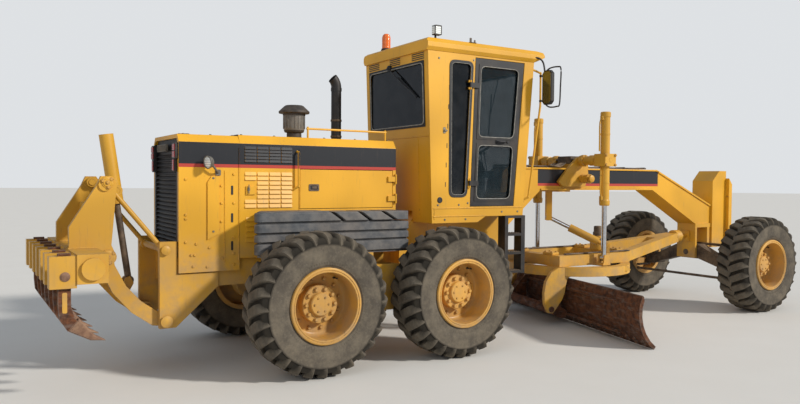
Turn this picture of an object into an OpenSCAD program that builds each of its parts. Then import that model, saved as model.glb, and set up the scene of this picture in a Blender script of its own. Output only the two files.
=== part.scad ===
// Motor grader with an articulated frame, a turning blade circle and a rear ripper.
// All lengths are in millimetres. X points forward, Y to the machine's left, Z up.
// Inside the modules X is counted from the middle of the tandem wheels and Z from the ground.

/* [Layout] */
// Distance from the middle of the tandem wheels to the front axle
wheelbase = 6480; // [6300:10:6700]
// Distance between the two wheels of a tandem
tandem_pitch = 1656; // [1600:2:1720]
// Distance between the middles of the left and right tyres
track = 2280; // [2240:10:2320]
// Distance from the model's origin back to the middle of the tandem wheels
origin_to_tandem = 1950; // [1900:10:2000]
// Distance from the middle of the tandem wheels to the articulation pin
pivot_x = 500; // [480:5:520]

/* [Wheels] */
// Outer diameter over the lugs
tyre_d = 1420; // [1400:2:1440]
// Width of a tyre at its widest
tyre_w = 510; // [490:2:516]
// Diameter where the tyre's bead sits on the rim
bead_d = 690; // [680:2:700]
// Outer diameter of the rim flanges
flange_d = 748; // [740:2:756]
// Width of the rim between its flanges
rim_w = 430; // [420:2:440]
// Thickness of a rim flange
flange_t = 17; // [12:1:20]
// Number of lugs on each half of a tyre
lug_n = 28; // [24:2:32]
// Thickness of a lug
lug_t = 80; // [70:2:88]
// How far the rear wheel disc lies inside the middle of the tyre
disc_inset = 30; // [10:1:50]
// Radius of the wheel spindles
spindle_r = 60; // [50:1:70]
// Running clearance between a pin and its bore
pin_gap = 0.3; // [0.2:0.1:0.5]

/* [Rear frame] */
// Distance from the middle of the tandem wheels back to the rear cross plate
rear_end = 1950; // [1930:5:1980]
// Outer half width of the rear frame rails
rail_y = 460; // [450:5:460]
// Thickness of a rear frame rail
rail_t = 100; // [80:5:110]
// Height of the rails' lower edge above the ground
rail_z0 = 850; // [830:5:870]
// Height of the rails' upper edge above the ground
rail_z1 = 1150; // [1140:5:1150]
// Width of a tandem case
tandem_w = 214; // [200:2:216]

/* [Hood] */
// Half width of the hood
hood_y = 500; // [500:5:520]
// Height of the hood's shoulder above the ground
hood_z = 2285; // [2270:5:2300]
// How far the hood's roof rises above its shoulder
roof_rise = 87; // [80:1:95]
// Distance from the middle of the tandem wheels to the hood's front
hood_front = 464; // [450:2:470]
// Distance from the middle of the tandem wheels back to the hood's rear
hood_rear = 2000; // [1995:5:2005]
// Thickness of the hood's panels and doors
panel_t = 40; // [30:2:40]
// Half width over the ribbed side guards
guard_y = 870; // [860:5:870]

/* [Front frame] */
// Half width of the beam ahead of the cab
beam_y = 153; // [145:1:160]
// Height of the beam's top above the ground
beam_z1 = 2116; // [2100:2:2120]
// Depth of the beam ahead of the cab
beam_h = 310; // [300:2:312]
// Half width of the frame under the cab
belly_y = 300; // [280:5:310]
// Half width of the nose
nose_y = 190; // [180:5:200]

/* [Cab] */
// Half width of the cab
cab_y = 720; // [710:5:725]
// Height of the cab's floor above the ground
floor_z = 1620; // [1620:1:1622]
// Height of the roof's underside above the ground
roof_z = 3410; // [3400:5:3420]
// Thickness of the cab's walls and doors
wall_t = 60; // [50:2:60]
// Thickness of the window panes
pane_t = 10; // [8:1:12]

/* [Blade] */
// Length of the blade
blade_l = 4268; // [4000:4:4290]
// Thickness of the blade
blade_t = 25; // [22:1:28]
// Radius of the blade's hollow face
blade_r = 500; // [480:5:520]
// Distance from the middle of the tandem wheels to the middle of the circle
circle_x = 3670; // [3660:5:3680]
// Outer radius of the circle
circle_r = 865; // [850:5:875]
// How far the parked circle is turned to the right
circle_yaw = 14; // [10:1:16]
// How far the parked blade is shifted to the right
blade_shift = 80; // [60:5:100]

/* [Ripper] */
// Number of shanks
shanks = 7; // [5:1:7]
// Distance between neighbouring shanks
shank_pitch = 333; // [300:1:340]

/* [Hidden] */
$fn = 64;

axle_z = tyre_d / 2;
tyre_y = track / 2;
tandem_x = tandem_pitch / 2;
seat_gap = 0.3;

// Paint and finish colours, as the photo shows them
yellow = "#E5B83C";
shade = "#8A5A22";
black = "#26262A";
rust = "#5A3A2A";
tyre_grey = "#6B655E";
steel = "#B9BCC2";
glass_tint = "#3C4A50";

// Shared helpers
module placed() {
    translate([-origin_to_tandem, 0, 0]) children();
}

module both_sides() {
    children();
    mirror([0, 1, 0]) children();
}

module block(x0, x1, y0, y1, z0, z1) {
    translate([x0, y0, z0]) cube([x1 - x0, y1 - y0, z1 - z0]);
}

module bar_y(x, z, r, y0, y1) {
    translate([x, y0, z]) rotate([-90, 0, 0]) cylinder(r = r, h = y1 - y0);
}

module bar_x(y, z, r, x0, x1) {
    translate([x0, y, z]) rotate([0, 90, 0]) cylinder(r = r, h = x1 - x0);
}

module bar_z(x, y, r, z0, z1) {
    translate([x, y, z0]) cylinder(r = r, h = z1 - z0);
}

// A plate that stands along the machine: outline in X and Z, thickness from y0 to y1
module plate_y(outline, y0, y1) {
    translate([0, y1, 0]) rotate([90, 0, 0]) linear_extrude(height = y1 - y0) polygon(outline);
}

// A plate that stands across the machine: outline in Y and Z, thickness from x0 to x1
module plate_x(outline, x0, x1) {
    translate([x0, 0, 0]) rotate([90, 0, 90]) linear_extrude(height = x1 - x0) polygon(outline);
}

// A round bar from point a to point b
module bar(a, b, r) {
    d = b - a;
    translate(a)
        rotate([0, acos(d[2] / norm(d)), atan2(d[1], d[0])])
            cylinder(r = r, h = norm(d));
}

function disc(r, n) = [for (i = [0 : n - 1]) [r * cos(i * 360 / n), r * sin(i * 360 / n)]];
function along(a, b, s) = a + (b - a) / norm(b - a) * s;
function arc_xz(cx, cz, r, a0, a1, n) =
    [for (i = [0 : n]) [cx + r * cos(a0 + (a1 - a0) * i / n), cz + r * sin(a0 + (a1 - a0) * i / n)]];

// Wheels
// Half section of a casing as [radius, distance from its middle plane]
bead_r = bead_d / 2;
flange_r = flange_d / 2;
tyre_r = tyre_d / 2;
half_w = tyre_w / 2;
casing = [[bead_r, 205], [flange_r + 6, 214], [430, 240], [540, half_w], [tyre_r - 85, half_w - 4],
    [tyre_r - 55, half_w - 33], [tyre_r - 38, half_w - 80]];

// One lug across half the tread: its corners lie on the tyre's outer circle
lug_turn = 24;
lug_end = (half_w - lug_t / 2 * sin(lug_turn)) / cos(lug_turn);
lug_flat = lug_end - 96;
lug_corner = lug_flat * sin(lug_turn) + lug_t / 2 * cos(lug_turn);
lug_top = sqrt(tyre_r * tyre_r - lug_corner * lug_corner);
lug_outline = [[tyre_r - 70, -8], [lug_top, -8], [lug_top, lug_flat], [tyre_r - 20, lug_end - 50],
    [tyre_r - 68, lug_end - 12], [tyre_r - 118, lug_end], [tyre_r - 118, lug_end - 50],
    [tyre_r - 70, lug_end - 110]];

module tyre(x, side) {
    ring = concat(casing, [for (i = [len(casing) - 1 : -1 : 0]) [casing[i][0], -casing[i][1]]]);
    pitch = 360 / lug_n;
    color(tyre_grey)
        placed() translate([x, side * tyre_y, axle_z]) rotate([side * -90, 0, 0]) {
            rotate_extrude($fn = 96) polygon(ring);
            for (half = [0, 1])
                for (i = [0 : lug_n - 1])
                    rotate([0, 0, i * pitch + half * pitch / 2 - asin(lug_corner / tyre_r)])
                        mirror([0, 0, half]) rotate([90 + lug_turn, 0, 0]) translate([0, 0, -lug_t / 2])
                            linear_extrude(height = lug_t) polygon(lug_outline);
        }
}

// Rim, dished disc and hub, with its open side outwards
hub_r = 190;
hub_out = 70;
spindle_end = 60;
module wheel(x, side, inset) {
    barrel_r = bead_r - seat_gap;
    rim_in = barrel_r - 20;
    w = rim_w / 2 + seat_gap;
    color(yellow)
        placed() translate([x, side * tyre_y, axle_z]) rotate([side * -90, 0, 0])
            difference() {
                union() {
                    rotate_extrude($fn = 96)
                        polygon([[rim_in, -w - flange_t], [flange_r, -w - flange_t], [flange_r, -w],
                            [barrel_r, -w], [barrel_r, w], [flange_r, w], [flange_r, w + flange_t],
                            [rim_in, w + flange_t]]);
                    translate([0, 0, -inset - 15]) cylinder(r = rim_in + 5, h = 30);
                    translate([0, 0, -150]) cylinder(r = 110, h = 150);
                    translate([0, 0, -inset]) cylinder(r = hub_r, h = inset + hub_out);
                }
                translate([0, 0, -160])
                    cylinder(r = spindle_r + pin_gap, h = 160 - spindle_end + seat_gap);
            }
}

module tyre_rear_right() { tyre(-tandem_x, -1); }
module tyre_rear_left() { tyre(-tandem_x, 1); }
module tyre_mid_right() { tyre(tandem_x, -1); }
module tyre_mid_left() { tyre(tandem_x, 1); }
module tyre_front_right() { tyre(wheelbase, -1); }
module tyre_front_left() { tyre(wheelbase, 1); }
module wheel_rear_right() { wheel(-tandem_x, -1, disc_inset); }
module wheel_rear_left() { wheel(-tandem_x, 1, disc_inset); }
module wheel_mid_right() { wheel(tandem_x, -1, disc_inset); }
module wheel_mid_left() { wheel(tandem_x, 1, disc_inset); }
module wheel_front_right() { wheel(wheelbase, -1, disc_inset); }
module wheel_front_left() { wheel(wheelbase, 1, disc_inset); }

// Rear frame
drive_r = 170;
drive_y = 615;
tandem_y0 = drive_y + seat_gap;
tandem_y1 = tandem_y0 + tandem_w;
hitch_lug_r = 120;
hitch_pin_r = 45;
hitch_z = [720, 785, 1295, 1360];
cross_x0 = 150;
cross_x1 = 330;
mount_y0 = 415;
mount_y1 = 475;
arm_pin = [-2114, 539];
link_pin = [-2121, 1231];
arm_pin_r = 45;
link_pin_r = 32;

module rear_frame() {
    color(yellow) placed() {
        difference() {
            union() {
                both_sides() {
                    block(-rear_end, cross_x0, rail_y - rail_t, rail_y, rail_z0, rail_z1);
                    plate_y([[-2175, 470], [-2020, 470], [-1600, rail_z0], [-1600, 990], [-2010, 990],
                        [-2010, 1310], [-2175, 1310]], mount_y0, mount_y1);
                    for (x = [-1050, -150])
                        block(x, x + 120, rail_y - 10, guard_y - 10, rail_z1 - 60, rail_z1);
                }
                block(-rear_end - 60, -rear_end, -rail_y, rail_y, rail_z0, rail_z1);
                block(cross_x0, cross_x1, -rail_y, rail_y, hitch_z[0], hitch_z[3]);
                bar_y(0, axle_z, drive_r, -drive_y, drive_y);
                block(-150, 150, -rail_y, rail_y, axle_z, rail_z0 + 60);
                for (i = [0, 2]) {
                    block(cross_x1 - 1, pivot_x, -hitch_lug_r, hitch_lug_r, hitch_z[i], hitch_z[i + 1]);
                    bar_z(pivot_x, 0, hitch_lug_r, hitch_z[i], hitch_z[i + 1]);
                }
                bar_y(arm_pin[0], arm_pin[1], arm_pin_r, -mount_y1, mount_y1);
                bar_y(link_pin[0], link_pin[1], link_pin_r, -mount_y1, mount_y1);
            }
            bar_z(pivot_x, 0, hitch_pin_r + pin_gap, hitch_z[0] - 10, hitch_z[3] + 10);
        }
    }
}

tandem_end_r = 200;
tandem_top = 300;
module tandem_cases() {
    color(yellow) placed() both_sides() {
        bar_y(-tandem_x, axle_z, tandem_end_r, tandem_y0, tandem_y1);
        bar_y(tandem_x, axle_z, tandem_end_r, tandem_y0, tandem_y1);
        plate_y([[-tandem_x, axle_z - tandem_end_r], [tandem_x, axle_z - tandem_end_r],
            [tandem_x, axle_z + tandem_end_r], [280, axle_z + tandem_top],
            [-280, axle_z + tandem_top], [-tandem_x, axle_z + tandem_end_r]], tandem_y0, tandem_y1);
        for (x = [-tandem_x, tandem_x]) {
            bar_y(x, axle_z, 130, tandem_y1, tyre_y - 156);
            bar_y(x, axle_z, spindle_r, tandem_y1, tyre_y - spindle_end);
        }
    }
}

engine_y = 380;
module engine() {
    color("#55534E") placed() block(-950, 100, -engine_y, engine_y, rail_z1, 1950);
}

// Hood
top_edge = 20;
roof_in = 60;
roof_step = 12;
shoulder_in = 15;
door_z0 = 1615;
door_z1 = 2030;
sill_z = 1560;
seam_rear = -1386;
seam_mid = -730;
bulkhead_x = hood_front - panel_t;
door_gap = 6;

// The hood's bent roof as seen from behind
function roof_section(z) = [[-hood_y, hood_z - top_edge], [-hood_y, hood_z], [roof_in - hood_y, z],
    [hood_y - roof_in, z], [hood_y, hood_z], [hood_y, hood_z - top_edge],
    [hood_y - panel_t, hood_z - top_edge], [hood_y - panel_t, hood_z - shoulder_in],
    [hood_y - roof_in - shoulder_in, z - panel_t], [roof_in + shoulder_in - hood_y, z - panel_t],
    [panel_t - hood_y, hood_z - shoulder_in], [panel_t - hood_y, hood_z - top_edge]];
roof_top = hood_z + roof_rise;
slat_n = 23;
slat_pitch = 44;
slat_z = 1170;
lamp_z = [1990, 2120];

module radiator_guard() {
    half = hood_y - panel_t;
    under = roof_top - roof_step - panel_t;
    slats = [for (i = [0 : slat_n - 1], p = [[0, 0.1], [28, 0.75], [28, 1]])
        [p[0] - hood_rear, slat_z + (i + p[1]) * slat_pitch]];
    color(black) placed() {
        plate_x([[-half, rail_z1], [half, rail_z1], [half, hood_z - shoulder_in],
            [half - roof_in + panel_t - shoulder_in, under], [roof_in - panel_t + shoulder_in - half, under],
            [-half, hood_z - shoulder_in]], -hood_rear + 29, -hood_rear + 50);
        plate_y(concat([[30 - hood_rear, slat_z]], slats, [[30 - hood_rear, slat_z + slat_n * slat_pitch]]),
            -half + 50, half - 50);
        both_sides() {
            block(-hood_rear, -hood_rear + 30, half - 51, half, rail_z1, hood_z - top_edge);
            block(-hood_rear - 30, -hood_rear + 1, half - 75, half - 5, lamp_z[0], lamp_z[1]);
        }
    }
}

// A vertical hinge outside a panel: the fixed half has the pin, the moving half turns on it
knuckle_r = 12;
hinge_pin_r = 6;
hinge_h = 110;
module hinge_fixed(x, y, z, face_x) {
    bar_z(x, y, hinge_pin_r, z, z + hinge_h);
    for (dz = [0, hinge_h - 25]) {
        bar_z(x, y, knuckle_r, z + dz, z + dz + 25);
        block(min(x, face_x), max(x, face_x), y, -hood_y + 1, z + dz, z + dz + 25);
    }
}
module hinge_moving(x, y, z, leaf_x, face_y) {
    difference() {
        union() {
            bar_z(x, y, knuckle_r, z + 25.3, z + hinge_h - 25.3);
            block(min(x, leaf_x), max(x, leaf_x), y - 4, y + 4, z + 25.3, z + hinge_h - 25.3);
            block(leaf_x - 20, leaf_x + 20, y - 4, face_y, z + 25.3, z + hinge_h - 25.3);
        }
        bar_z(x, y, hinge_pin_r + pin_gap, z, z + hinge_h);
    }
}
rail_top_y = 424;
rail_top_z = 2492;
tube_r = 11;
door_hinge = [455, -516];
door_hinge_z = [1660, 1880];

module hood_top() {
    color(yellow) placed() {
        plate_x(roof_section(roof_top - roof_step), -hood_rear, seam_rear + 1);
        plate_x(roof_section(roof_top), seam_rear, bulkhead_x + 1);
        both_sides() {
            block(seam_mid, bulkhead_x, hood_y - panel_t, hood_y, door_z1 + door_gap, hood_z - top_edge);
            block(seam_mid, bulkhead_x, hood_y - panel_t, hood_y, sill_z, door_z0 - door_gap);
        }
        plate_x([[-hood_y, sill_z], [hood_y, sill_z], [hood_y, hood_z], [hood_y - roof_in, roof_top],
            [roof_in - hood_y, roof_top], [-hood_y, hood_z]], bulkhead_x, hood_front);
        bar_z(-603, -rail_top_y, tube_r, roof_top - 2, rail_top_z);
        bar_z(361, -rail_top_y, tube_r, roof_top - 2, rail_top_z);
        bar_x(-rail_top_y, rail_top_z - 2 * tube_r, tube_r, -603 - tube_r - 4, 361 + tube_r + 4);
        both_sides() for (z = door_hinge_z)
            hinge_fixed(door_hinge[0], door_hinge[1], z, door_hinge[0] - 10);
    }
}

// One column of pressed louvres: n hoods above each other, open at their lower edges
louvre_out = 12;
module louvres(x0, x1, z, pitch, n) {
    teeth = [for (i = [0 : n - 1], p = [[louvre_out, 0], [0.5, 0.78], [0.5, 1]])
        [hood_y + p[0], z + (i + p[1]) * pitch]];
    plate_x(concat([[hood_y - 2, z]], teeth, [[hood_y - 2, z + n * pitch]]), x0, x1);
}

// A bent tube along a list of points
module tube(points, r) {
    for (i = [0 : len(points) - 2]) {
        bar(points[i], points[i + 1], r);
        if (i > 0) translate(points[i]) sphere(r = r + 1.5);
    }
}

louvre_x0 = -1333;
louvre_step = 132;
louvre_w = 120;
module side_panels() {
    color(yellow) placed() both_sides() {
        block(-hood_rear, seam_rear - 1, hood_y - panel_t, hood_y, 1000, hood_z - top_edge);
        plate_y([[seam_rear, 1120], [-1180, 1120], [-1180, sill_z], [seam_mid, sill_z],
            [seam_mid, hood_z - top_edge], [seam_rear, hood_z - top_edge]], hood_y - panel_t, hood_y);
        for (i = [0 : 3]) {
            x = louvre_x0 + i * louvre_step;
            louvres(x, x + louvre_w, 2096, 33, 5);
            if (i > 0) louvres(x, x + louvre_w, 1630, 47, 8);
        }
        louvres(louvre_x0, louvre_x0 + louvre_w, 1630, 47, 2);
        louvres(louvre_x0, louvre_x0 + louvre_w, 1912, 47, 2);
        block(louvre_x0 + 10, louvre_x0 + 105, hood_y - 1, hood_y + 14, 1765, 1850);
        louvres(louvre_x0 + 12, louvre_x0 + 129, 1280, 53, 5);
        plate_y([[-1720, 1320], [-1602, 1375], [-1602, 1950], [-1680, 1950], [-1720, 1890]], hood_y - 1, hood_y + 14);
        tube([[-760, hood_y - 2, 2220], [-760, 545, 2205], [-760, 545, 1850], [-815, hood_y - 2, 1812]], tube_r);
    }
}

module engine_door() {
    block(seam_mid + door_gap, bulkhead_x - door_gap, -hood_y, -hood_y + panel_t, door_z0, door_z1);
    for (z = door_hinge_z)
        hinge_moving(door_hinge[0], door_hinge[1], z, bulkhead_x - 50, -hood_y + 1);
}

module engine_door_right() { color(yellow) placed() engine_door(); }
module engine_door_left() { color(yellow) placed() mirror([0, 1, 0]) engine_door(); }

guard_x1 = 405;
guard_z1 = 1600;
// Heights of the four ribs of a guard
ribs = [[1171, 1280], [1296, 1372], [1388, 1478], [1494, 1586]];
// Slanted grooves in the top rib, each from [x, z] to [x, z]
grooves = [[-508, 1579, -368, 1482], [-178, 1573, -69, 1497], [79, 1591, 231, 1501]];
rib_out = 14;
module guard_layer(inset, z0, z1) {
    translate([0, 0, z0]) linear_extrude(height = z1 - z0)
        polygon([[guard_x1, hood_y], [guard_x1, guard_y - inset], [-1291, guard_y - inset],
            [-1320 + inset / 2, guard_y - 10 - inset], [-1338 + inset, guard_y - 40],
            [-1343 + inset, guard_y - 75], [-1165, hood_y]]);
}
module ribbed_guards() {
    color("#4A4C50") placed() both_sides() difference() {
        union() {
            guard_layer(rib_out, rail_z1, guard_z1);
            for (rib = ribs) guard_layer(0, rib[0], rib[1]);
        }
        for (g = grooves)
            translate([g[0], guard_y - rib_out, g[1]]) rotate([0, atan2(g[1] - g[3], g[2] - g[0]), 0])
                translate([-15, 0, -8]) cube([norm([g[2] - g[0], g[3] - g[1]]) + 30, rib_out + 5, 16]);
    }
}

stack = [50, 200];
stack_r = 60;
stack_wall = 6;
stack_bend_z = 3020;
stack_bend_r = 150;
stack_bend_a = 48;
module exhaust_stack() {
    color(black) placed() {
        bar_z(stack[0], stack[1], stack_r + 28, roof_top, roof_top + 25);
        bar_z(stack[0], stack[1], stack_r, roof_top + 24, stack_bend_z - 10);
        difference() {
            bar_z(stack[0], stack[1], stack_r + 5, stack_bend_z - 40, stack_bend_z);
            bar_z(stack[0], stack[1], stack_r - stack_wall, stack_bend_z - 9, stack_bend_z + 1);
        }
        translate([stack[0] - stack_bend_r, stack[1], stack_bend_z]) rotate([90, 0, 0])
            rotate_extrude(angle = stack_bend_a) translate([stack_bend_r, 0]) difference() {
                polygon(disc(stack_r, 32));
                polygon(disc(stack_r - stack_wall + 1, 32));
            }
    }
}

module precleaner() {
    color("#8A8A86") placed() translate([-622, -100, 0])
        rotate_extrude() polygon([[0, roof_top], [96, roof_top], [96, roof_top + 18], [80, roof_top + 18],
            [80, 2448], [106, 2458], [116, 2480], [122, 2640], [162, 2656], [171, 2684], [160, 2718],
            [112, 2740], [0, 2746]]);
}

// Front frame
knee_x = wheelbase - 1100;
nose_x0 = wheelbase + 250;
nose_x1 = wheelbase + 600;
nose_plate_t = 80;
flange_h = 22;
flange_out = 16;
bolt_y = 220;
bolt_z = [1150, 1700];
bolt_hole_r = 13.5;
axle_pin_z = 800;
axle_pin_r = 45;
ball = [wheelbase - 380, 0, 1060];
ball_r = 65;

module front_frame() {
    beam_z0 = beam_z1 - beam_h;
    color(yellow) placed() {
        difference() {
            union() {
                plate_y([[2270, 1560], [2270, 1100], [2420, 1330], [3000, beam_z0], [knee_x - 100, beam_z0],
                    [wheelbase - 150, 1260], [nose_x0, 1256], [nose_x0, 1560], [knee_x, beam_z1], [2430, beam_z1],
                    [2330, 2050]], -beam_y, beam_y);
                plate_y([[640, 860], [1900, 860], [2270, 1100], [2270, 1560], [900, 1560], [640, 1240]],
                    -belly_y, belly_y);
                plate_y([[2600, beam_z1 - flange_h], [2600, beam_z1], [knee_x, beam_z1], [nose_x0, 1560],
                    [nose_x0, 1560 - flange_h - 6], [knee_x - 8, beam_z1 - flange_h]],
                    -beam_y - flange_out, beam_y + flange_out);
                plate_y([[3000, beam_z0], [3000, beam_z0 + flange_h], [knee_x - 92, beam_z0 + flange_h],
                    [wheelbase - 150, 1260 + flange_h + 4], [wheelbase - 150, 1260], [knee_x - 100, beam_z0]],
                    -beam_y - flange_out, beam_y + flange_out);
                block(pivot_x, 641, -90, 90, hitch_z[1] + 15, hitch_z[2] - 15);
                bar_z(pivot_x, 0, 90, hitch_z[1] + seat_gap, hitch_z[2] - seat_gap);
                bar_z(pivot_x, 0, hitch_pin_r, hitch_z[0] - 5, hitch_z[3] + 5);
                plate_y([[nose_x0, 870], [nose_x1, 870], [nose_x1, 2120], [nose_x1 - 180, 2120], [nose_x0, 1954]],
                    -nose_y, nose_y);
                plate_y([[nose_x1, 900], [nose_x1 + nose_plate_t, 960], [nose_x1 + nose_plate_t, 1900],
                    [nose_x1, 2000]], -nose_y - 60, nose_y + 60);
                block(wheelbase - 150, wheelbase - 105, -170, 170, axle_pin_z - 90, 1262);
                block(wheelbase + 155, wheelbase + 215, -170, 170, axle_pin_z - 90, 1262);
                block(wheelbase - 150, nose_x0 + 1, -170, 170, 1200, 1262);
                bar([wheelbase - 150, 0, 1060], [ball[0], 0, ball[2]], 35);
                block(wheelbase - 180, wheelbase - 149, -80, 80, 980, 1140);
                translate(ball) sphere(r = ball_r);
                block(shift_head[0] - 110, shift_head[0] + 110, -beam_y, 300, beam_z0 - 24, beam_z0 + 1);
                translate([shift_head[0], shift_head[1], 0]) rotate([0, 0, shift_axis])
                    for (x = [-84, 62]) translate([x, -40, shift_head[2] - 45])
                        cube([22, 80, beam_z0 - 10 - shift_head[2] + 45]);
            }
            bar_x(0, axle_pin_z, axle_pin_r + pin_gap, wheelbase - 160, wheelbase + 240);
            for (y = [-bolt_y, bolt_y], z = bolt_z)
                bar_x(y, z, bolt_hole_r, nose_x1 - 10, nose_x1 + nose_plate_t + 10);
        }
    }
}

// Front axle with leaning, steered wheels
lean_y = 755;
lean_z = 620;
lean_pin_r = 35;
king_y = 860;
king_r = 30;
king_z = [540, 580, 840, 880];
lean_bar_x = wheelbase + 120;
lean_bar_z = 930;
tie_x = wheelbase - 260;
tie_z = 455;
tie_pin_r = 12;
tie_ball_r = 28;

module front_axle() {
    color(shade) placed() {
        plate_x([[-660, 560], [-660, 700], [-180, 930], [180, 930], [660, 700], [660, 560],
            [200, 700], [-200, 700]], wheelbase - 95, wheelbase + 80);
        bar_x(0, axle_pin_z, axle_pin_r, wheelbase - 155, wheelbase + 220);
        both_sides() {
            for (x = [-110, 76])
                plate_x([[640, 560], [lean_y, 570], [lean_y + 45, lean_z], [lean_y, 670], [640, 690]],
                    wheelbase + x, wheelbase + x + 34);
            block(wheelbase - 110, wheelbase + 110, 600, 661, 562, 690);
            bar_x(lean_y, lean_z, lean_pin_r, wheelbase - 115, wheelbase + 115);
        }
    }
}

module lean_housing() {
    difference() {
        union() {
            block(wheelbase - 70, wheelbase + 70, lean_y - 35, lean_y + 20, king_z[0], king_z[3]);
            bar_x(lean_y, lean_z, lean_pin_r + 15, wheelbase - 70, wheelbase + 70);
            for (i = [0, 2]) {
                block(wheelbase - 70, wheelbase + 70, lean_y, king_y, king_z[i], king_z[i + 1]);
                bar_z(wheelbase, king_y, 70, king_z[i], king_z[i + 1]);
            }
            plate_x([[lean_y - 35, 860], [lean_y + 35, 860], [lean_y + 35, lean_bar_z], [lean_y, 965],
                [lean_y - 35, lean_bar_z]], wheelbase + 40, wheelbase + 70);
        }
        bar_x(lean_y, lean_z, lean_pin_r + pin_gap, wheelbase - 80, wheelbase + 80);
        bar_z(wheelbase, king_y, king_r + pin_gap, king_z[0] - 10, king_z[3] + 10);
    }
    bar_x(lean_y, lean_bar_z, 18, wheelbase + 40, lean_bar_x + 28);
}

module knuckle() {
    bar_z(wheelbase, king_y, king_r, tie_z + 45, king_z[3] + 5);
    bar_z(wheelbase, king_y, king_r + 20, king_z[1] + seat_gap, king_z[2] - seat_gap);
    bar_y(wheelbase, axle_z, spindle_r, king_y, tyre_y - spindle_end);
    bar_y(wheelbase, axle_z, 100, king_y, tyre_y - 151);
    block(tie_x, wheelbase, king_y - 20, king_y + 20, tie_z + 45, tie_z + 75);
    bar_z(tie_x, king_y, 30, tie_z + 45, tie_z + 75);
}

module lean_housing_right() { color(shade) placed() mirror([0, 1, 0]) lean_housing(); }
module lean_housing_left() { color(shade) placed() lean_housing(); }
module knuckle_right() {
    color(shade) placed() {
        mirror([0, 1, 0]) knuckle();
        bar_z(tie_x, -king_y, tie_pin_r, tie_z - 30, tie_z + 50);
    }
}
module knuckle_left() { color(shade) placed() knuckle(); }

module lean_bar() {
    color(shade) placed() difference() {
        union() {
            bar_y(lean_bar_x, lean_bar_z, 22, -lean_y + 20, lean_y - 20);
            both_sides() bar_x(lean_y, lean_bar_z, 34, lean_bar_x - 24, lean_bar_x + 24);
        }
        both_sides() bar_x(lean_y, lean_bar_z, 18 + pin_gap, lean_bar_x - 40, lean_bar_x + 40);
    }
}

module tie_end() {
    color(shade) placed() difference() {
        translate([tie_x, -king_y, tie_z]) sphere(r = tie_ball_r);
        bar_z(tie_x, -king_y, tie_pin_r + pin_gap, tie_z - 40, tie_z + 40);
    }
}

module tie_rod() {
    color(shade) placed() {
        difference() {
            bar_y(tie_x, tie_z, 20, -king_y + 10, king_y);
            translate([tie_x, -king_y, tie_z]) sphere(r = tie_ball_r + pin_gap);
        }
        translate([tie_x, king_y, tie_z]) sphere(r = tie_ball_r - 2);
    }
}

// Saddle that holds the two lift cylinders
lift_x = 3700;
lift_y = 660;
lift_top = 2220;
lift_foot = 880;
trunnion_r = 28;
arm_r = 62;
clamp_x = 74;
cheek_y = beam_y + flange_out + seat_gap;
module lift_saddle() {
    color(yellow) placed() {
        block(lift_x - 150, lift_x + 150, -beam_y - 60, beam_y + 60, beam_z1, beam_z1 + 60);
        both_sides() {
            plate_y([[lift_x - 420, beam_z1 - 190], [lift_x - 330, beam_z1 - 260], [lift_x + 90, beam_z1 - 260],
                [lift_x + 160, beam_z1 - 120], [lift_x + 130, beam_z1 + 60], [lift_x + 60, beam_z1 + 150],
                [lift_x - 60, beam_z1 + 150], [lift_x - 200, beam_z1 + 30]], cheek_y, cheek_y + 44);
            bar_y(lift_x, lift_top, arm_r, cheek_y + 43, lift_y - 99);
            bar_y(lift_x, lift_top, arm_r + 12, cheek_y + 43, cheek_y + 90);
            bar_y(lift_x + 20, beam_z1 - 150, 58, cheek_y + 43, cheek_y + 190);
            difference() {
                block(lift_x - clamp_x - 28, lift_x + clamp_x + 28, lift_y - 100, lift_y + 100, lift_top - 85,
                    lift_top + 85);
                block(lift_x - clamp_x, lift_x + clamp_x, lift_y - 76, lift_y + 76, lift_top - 90, lift_top + 90);
                bar_y(lift_x, lift_top, trunnion_r + pin_gap, lift_y - 120, lift_y + 120);
            }
        }
    }
}

lift_barrel_r = 62;
lift_rod_r = 35;
lift_barrel_z = [1610, 2870];
lift_rod_top = 2090;
module lift_barrel() {
    difference() {
        union() {
            bar_z(lift_x, lift_y, lift_barrel_r, lift_barrel_z[0], lift_barrel_z[1]);
            bar_z(lift_x, lift_y, lift_barrel_r + 8, lift_barrel_z[0] + 6, lift_barrel_z[0] + 62);
            bar_z(lift_x, lift_y, lift_barrel_r + 5, lift_barrel_z[1] - 60, lift_barrel_z[1] - 8);
            bar_y(lift_x, lift_top, trunnion_r, lift_y - 97, lift_y + 102);
        }
        bar_z(lift_x, lift_y, lift_rod_r + pin_gap, lift_barrel_z[0] - 10, lift_barrel_z[1] - 40);
    }
}

lift_eye_r = 42;
module lift_rod() {
    bar_z(lift_x, lift_y, lift_rod_r, lift_foot, lift_rod_top);
    bar_y(lift_x, lift_foot, lift_eye_r, lift_y - 36, lift_y + 36);
}

module lift_barrel_right() { color(yellow) placed() mirror([0, 1, 0]) lift_barrel(); }
module lift_barrel_left() { color(yellow) placed() lift_barrel(); }
module lift_rod_right() { color(steel) placed() mirror([0, 1, 0]) lift_rod(); }
module lift_rod_left() { color(steel) placed() lift_rod(); }

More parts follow.
